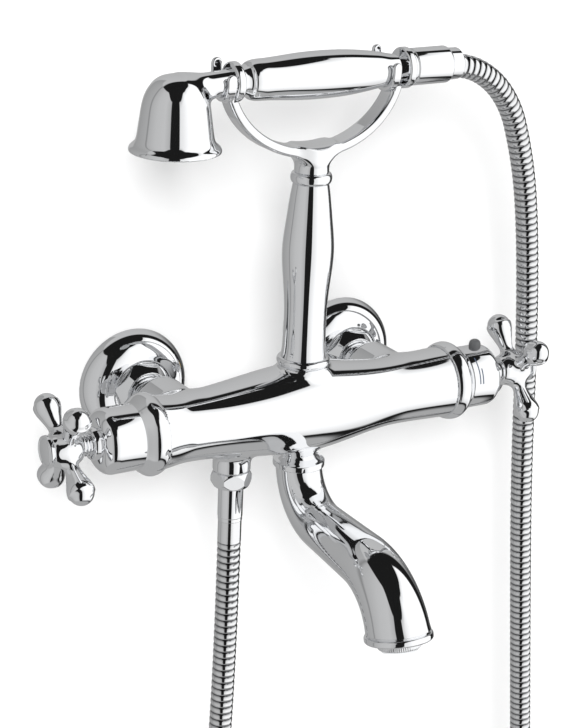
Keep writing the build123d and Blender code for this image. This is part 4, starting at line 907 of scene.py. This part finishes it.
# %% Painted lines and a bored hole
def painted_line(name, x, width, start, end):
    """Thin closed strip round the sleeve from one angle to another, in degrees above the front."""
    angle = np.radians(np.linspace(start, end, 40))
    corners = [(x - width / 2, 19.3), (x - width / 2, 19.55), (x + width / 2, 19.55), (x + width / 2, 19.3)]
    rows = [np.stack([np.full(40, a), -78 - r * np.cos(angle), r * np.sin(angle)], -1) for a, r in corners]
    grid = np.stack(rows, 1)
    caps = [np.repeat(grid[k].mean(axis=0)[None, None], 4, axis=1) for k in (0, -1)]
    grid = np.concatenate([caps[0], grid, caps[1]])
    mesh = mesh_of(name, grid.reshape(-1, 3), grid_faces(len(grid), 4))
    piece(name, mesh, scale_paint, body="temperature_handle", slot="grey_plastic", sharp=30)


scale_paint = finish("scale_paint", (0.05, 0.075, 0.12), (0.04, 0.06, 0.10), 0.0, (0.3, 0.4), 900, 0.05)
painted_line("scale_long", 119.4, 0.75, 5.5, 57)
painted_line("scale_short", 121.6, 0.75, 5, 34)


def bored(item, x, angle, radius):
    """Cuts a round hole into a sleeve: a boolean with a cutter that is deleted afterwards."""
    lean = radians(angle)
    out = np.array([0, -cos(lean), sin(lean)])
    frame_axes = np.array([out, [1, 0, 0], np.cross(out, [1, 0, 0])])
    points, faces = turned([(17.0, 0), (17.0, radius), (21, radius), (21, 0)], frame_axes, (x, -78, 0), 32)
    cutter = bpy.data.objects.new("cutter", mesh_of("cutter", points, faces))
    bpy.context.scene.collection.objects.link(cutter)
    modifier = item.modifiers.new("hole", "BOOLEAN")
    modifier.object = cutter
    modifier.solver = "EXACT"
    depsgraph = bpy.context.evaluated_depsgraph_get()
    cut = bpy.data.meshes.new_from_object(item.evaluated_get(depsgraph))
    item.modifiers.clear()
    item.data = cut
    bpy.data.objects.remove(cutter)
    grub = softened([(17.2, 0), (18.5, 0), (17.9, 0.55), (18.6, 0.7), (18.6, radius - 0.1),
                     (17.2, radius - 0.1)], 0.1, 3)
    lathed("grub_screw", grub, frame_axes, (x, -78, 0), 32, FINISHES["steel"], slot="steel", sharp=40)


bored(sleeve, -118.5, 100, 1.45)
print("sleeve faces after boring", len(sleeve.data.polygons))

# %% [markdown]
# ## Stop button
# A pressed button of grey plastic on top of the right sleeve, turned about its own axis: straight
# sides and a rounded head. Its radius grows a little towards the foot, as the mould needs.

# %% Button
button = [(24.3, 0), (24.1, 1.6), (23.2, 3.0), (21.6, 3.65), (19.0, 3.75), (15.8, 3.8)]
button = flowing(button, 40, (0, 1), (-1, 0))
button = np.concatenate([button, [(15.8, 0)]])
lathed("stop_button_head", button, "Z", (127.0, -78, 0), 64, FINISHES["grey_plastic"], body="safety_button",
       nodes=("stop_button",), slot="grey_plastic", sharp=50)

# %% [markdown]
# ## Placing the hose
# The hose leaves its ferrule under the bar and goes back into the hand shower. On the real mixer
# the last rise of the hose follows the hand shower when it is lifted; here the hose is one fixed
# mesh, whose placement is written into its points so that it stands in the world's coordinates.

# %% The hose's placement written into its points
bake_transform(hose)

# %% [markdown]
# ## Light and background
# Polished metal is lit by what it mirrors. In the studio a large white panel stood on the right,
# brighter in its middle than at its edges, and a dimmer one on the left, with the dark room
# between and above them, a grey floor, and the wall behind.
# Lamps and card could be built as objects, but they would stand in other views. Here the world
# holds them: only mirrored rays see the panels, and everything else sees plain white. Panels are
# masks over directions, so the world gets a small set of numbers that can be added and multiplied.


# %% Numbers made by nodes
world = bpy.data.worlds.new("studio")
world.use_nodes = True
bpy.context.scene.world = world
tree = world.node_tree


def maths(operation, *values):
    """One math node of the world; its result can go into the next."""
    node = tree.nodes.new("ShaderNodeMath")
    node.operation = operation
    for socket, value in zip(node.inputs, values):
        if isinstance(value, Number):
            tree.links.new(value.socket, socket)
        else:
            socket.default_value = value
    return Number(node.outputs[0])


class Number:
    """What a node gives out. Each sign written between two of them adds a math node."""

    def __init__(self, socket):
        self.socket = socket

    def __add__(self, other):
        return maths("ADD", self, other)

    def __sub__(self, other):
        return maths("SUBTRACT", self, other)

    def __rsub__(self, other):
        return maths("SUBTRACT", other, self)

    def __mul__(self, other):
        return maths("MULTIPLY", self, other)

    def __truediv__(self, other):
        return maths("DIVIDE", self, other)

    __radd__, __rmul__ = __add__, __mul__


def step(value, edge, width):
    """Mask of the values above an edge, soft over this width to both sides."""
    node = add(tree, "ShaderNodeMapRange", Value=value.socket, From_Min=edge - width, From_Max=edge + width)
    node.interpolation_type = "SMOOTHSTEP"
    return Number(node.outputs["Result"])


def turned_to(degrees, soft):
    """Mask of the directions that lie clockwise of this angle from the front, seen from above."""
    return step(azimuth, radians(degrees), radians(soft))


def laid_over(below, above, mask):
    """Blend of two brightnesses by a mask."""
    return below * (1.0 - mask) + above * mask


# %% Panels in the world
coords = tree.nodes.new("ShaderNodeTexCoord")
split = tree.nodes.new("ShaderNodeSeparateXYZ")
tree.links.new(coords.outputs["Generated"], split.inputs[0])
x, y, z = (Number(socket) for socket in split.outputs)
azimuth = maths("ARCTAN2", x, y * -1.0)
slope = z / maths("SQRT", maths("MAXIMUM", 1.0 - z * z, 0.0001))

right_top = 0.60 + 0.74 * turned_to(0, 14) + 0.26 * turned_to(30, 16)
right_panel = turned_to(-15, 1.2) * (1.0 - step(y, 0.03, 0.02)) * step(slope, -1.12, 0.05)
right_panel = right_panel * (1.0 - step(slope - right_top, 0, 0.03))
glow = (0.76 + 0.24 * turned_to(2, 17)) * (1.0 - 0.34 * step(slope, -0.9, -0.35))
glow = glow * (1.0 - 0.38 * step(slope - right_top, -0.15, 0.3))

left_top = 1.30 - 0.72 * turned_to(-57, 16)
left_panel = (1.0 - turned_to(-43, 1.2)) * (1.0 - step(slope - left_top, 0, 0.04))
ramp = tree.nodes.new("ShaderNodeValToRGB")
ramp.color_ramp.elements[1].position = 0.5
for position in (0.06, 0.148, 0.163, 0.176, 0.25, 0.33, 0.38):
    ramp.color_ramp.elements.new(position)
for stop, value in zip(ramp.color_ramp.elements, (0.34, 0.38, 0.43, 0.26, 0.46, 0.55, 0.58, 0.47, 0.47)):
    stop.color = (value, value, value, 1)
tree.links.new((azimuth / (2 * pi) + 0.5).socket, ramp.inputs[0])

wall_side, floor_side = step(y, 0.31, 0.03), step(slope * -1.0, 1.42, 0.16)
shade = step(x, 0.66, 0.14) * (1.0 - step(z, 0.2, 0.3))
mirrored = laid_over(0.012, 0.46 + z * 0.10 - shade * 0.36, wall_side)
mirrored = laid_over(mirrored, Number(ramp.outputs["Color"]), left_panel)
mirrored = laid_over(mirrored, 1.16 * glow, right_panel)
mirrored = laid_over(mirrored, 0.42, floor_side)

rays = tree.nodes.new("ShaderNodeLightPath")
kinds = ("Is Camera Ray", "Is Glossy Ray", "Is Transmission Ray")
seen, glossy, passing = (Number(rays.outputs[kind]) for kind in kinds)
studio = laid_over(laid_over(0.80, 1.0, seen), mirrored, maths("MAXIMUM", glossy, passing) * (1.0 - seen))
tree.links.new(studio.socket, tree.nodes["Background"].inputs["Color"])

# %% [markdown]
# ## Wall and floor
# The mixer hangs on a white wall and throws a soft shadow on it, down and to the left. One big
# soft lamp from the upper right makes that shadow. The wall is seen through from behind, so that
# the back of the mixer can be looked at.


# %% Stage
def stage_plane(name, corners, material):
    """A flat piece of the room, given by its corners in metres."""
    mesh = bpy.data.meshes.new(name)
    mesh.from_pydata(corners, [], [(0, 1, 2, 3)])
    mesh.materials.append(material)
    item = bpy.data.objects.new(name, mesh)
    bpy.context.scene.collection.objects.link(item)
    item.visible_glossy = False


backdrop = bpy.data.materials.new("white_backdrop")
backdrop.use_nodes = True
tree = backdrop.node_tree
shader = tree.nodes["Principled BSDF"]
shader.inputs["Base Color"].default_value = (0.90, 0.90, 0.90, 1)
shader.inputs["Roughness"].default_value = 0.9
shader.inputs["Specular IOR Level"].default_value = 0.0
see_through = tree.nodes.new("ShaderNodeBsdfTransparent")
sides = tree.nodes.new("ShaderNodeNewGeometry")
mix = tree.nodes.new("ShaderNodeMixShader")
tree.links.new(sides.outputs["Backfacing"], mix.inputs[0])
tree.links.new(shader.outputs[0], mix.inputs[1])
tree.links.new(see_through.outputs[0], mix.inputs[2])
tree.links.new(mix.outputs[0], tree.nodes["Material Output"].inputs["Surface"])
WALL, DOWN = 2.2, -0.78
BACK = 0.001
foot_line = [(WALL, BACK, DOWN), (-WALL, BACK, DOWN)]
stage_plane("wall", foot_line[::-1] + [(WALL, BACK, WALL), (-WALL, BACK, WALL)], backdrop)
stage_plane("floor", [(-WALL, -WALL, DOWN), (WALL, -WALL, DOWN)] + foot_line, backdrop)

lamp = bpy.data.lights.new("soft_lamp", "AREA")
lamp.shape = "DISK"
lamp.size = 1.1
lamp.energy = 42.0
lamp_object = bpy.data.objects.new("soft_lamp", lamp)
bpy.context.scene.collection.objects.link(lamp_object)
aim = np.array([-0.78, -1.6, 0.95])
away = aim / np.linalg.norm(aim)
across = np.cross((0, 0, 1), away)
across /= np.linalg.norm(across)
upright = np.cross(away, across)
lamp_object.matrix_world = Matrix((
    *((across[k], upright[k], away[k], 1.2 * aim[k]) for k in range(3)), (0, 0, 0, 1),
))
lamp_object.visible_glossy = False
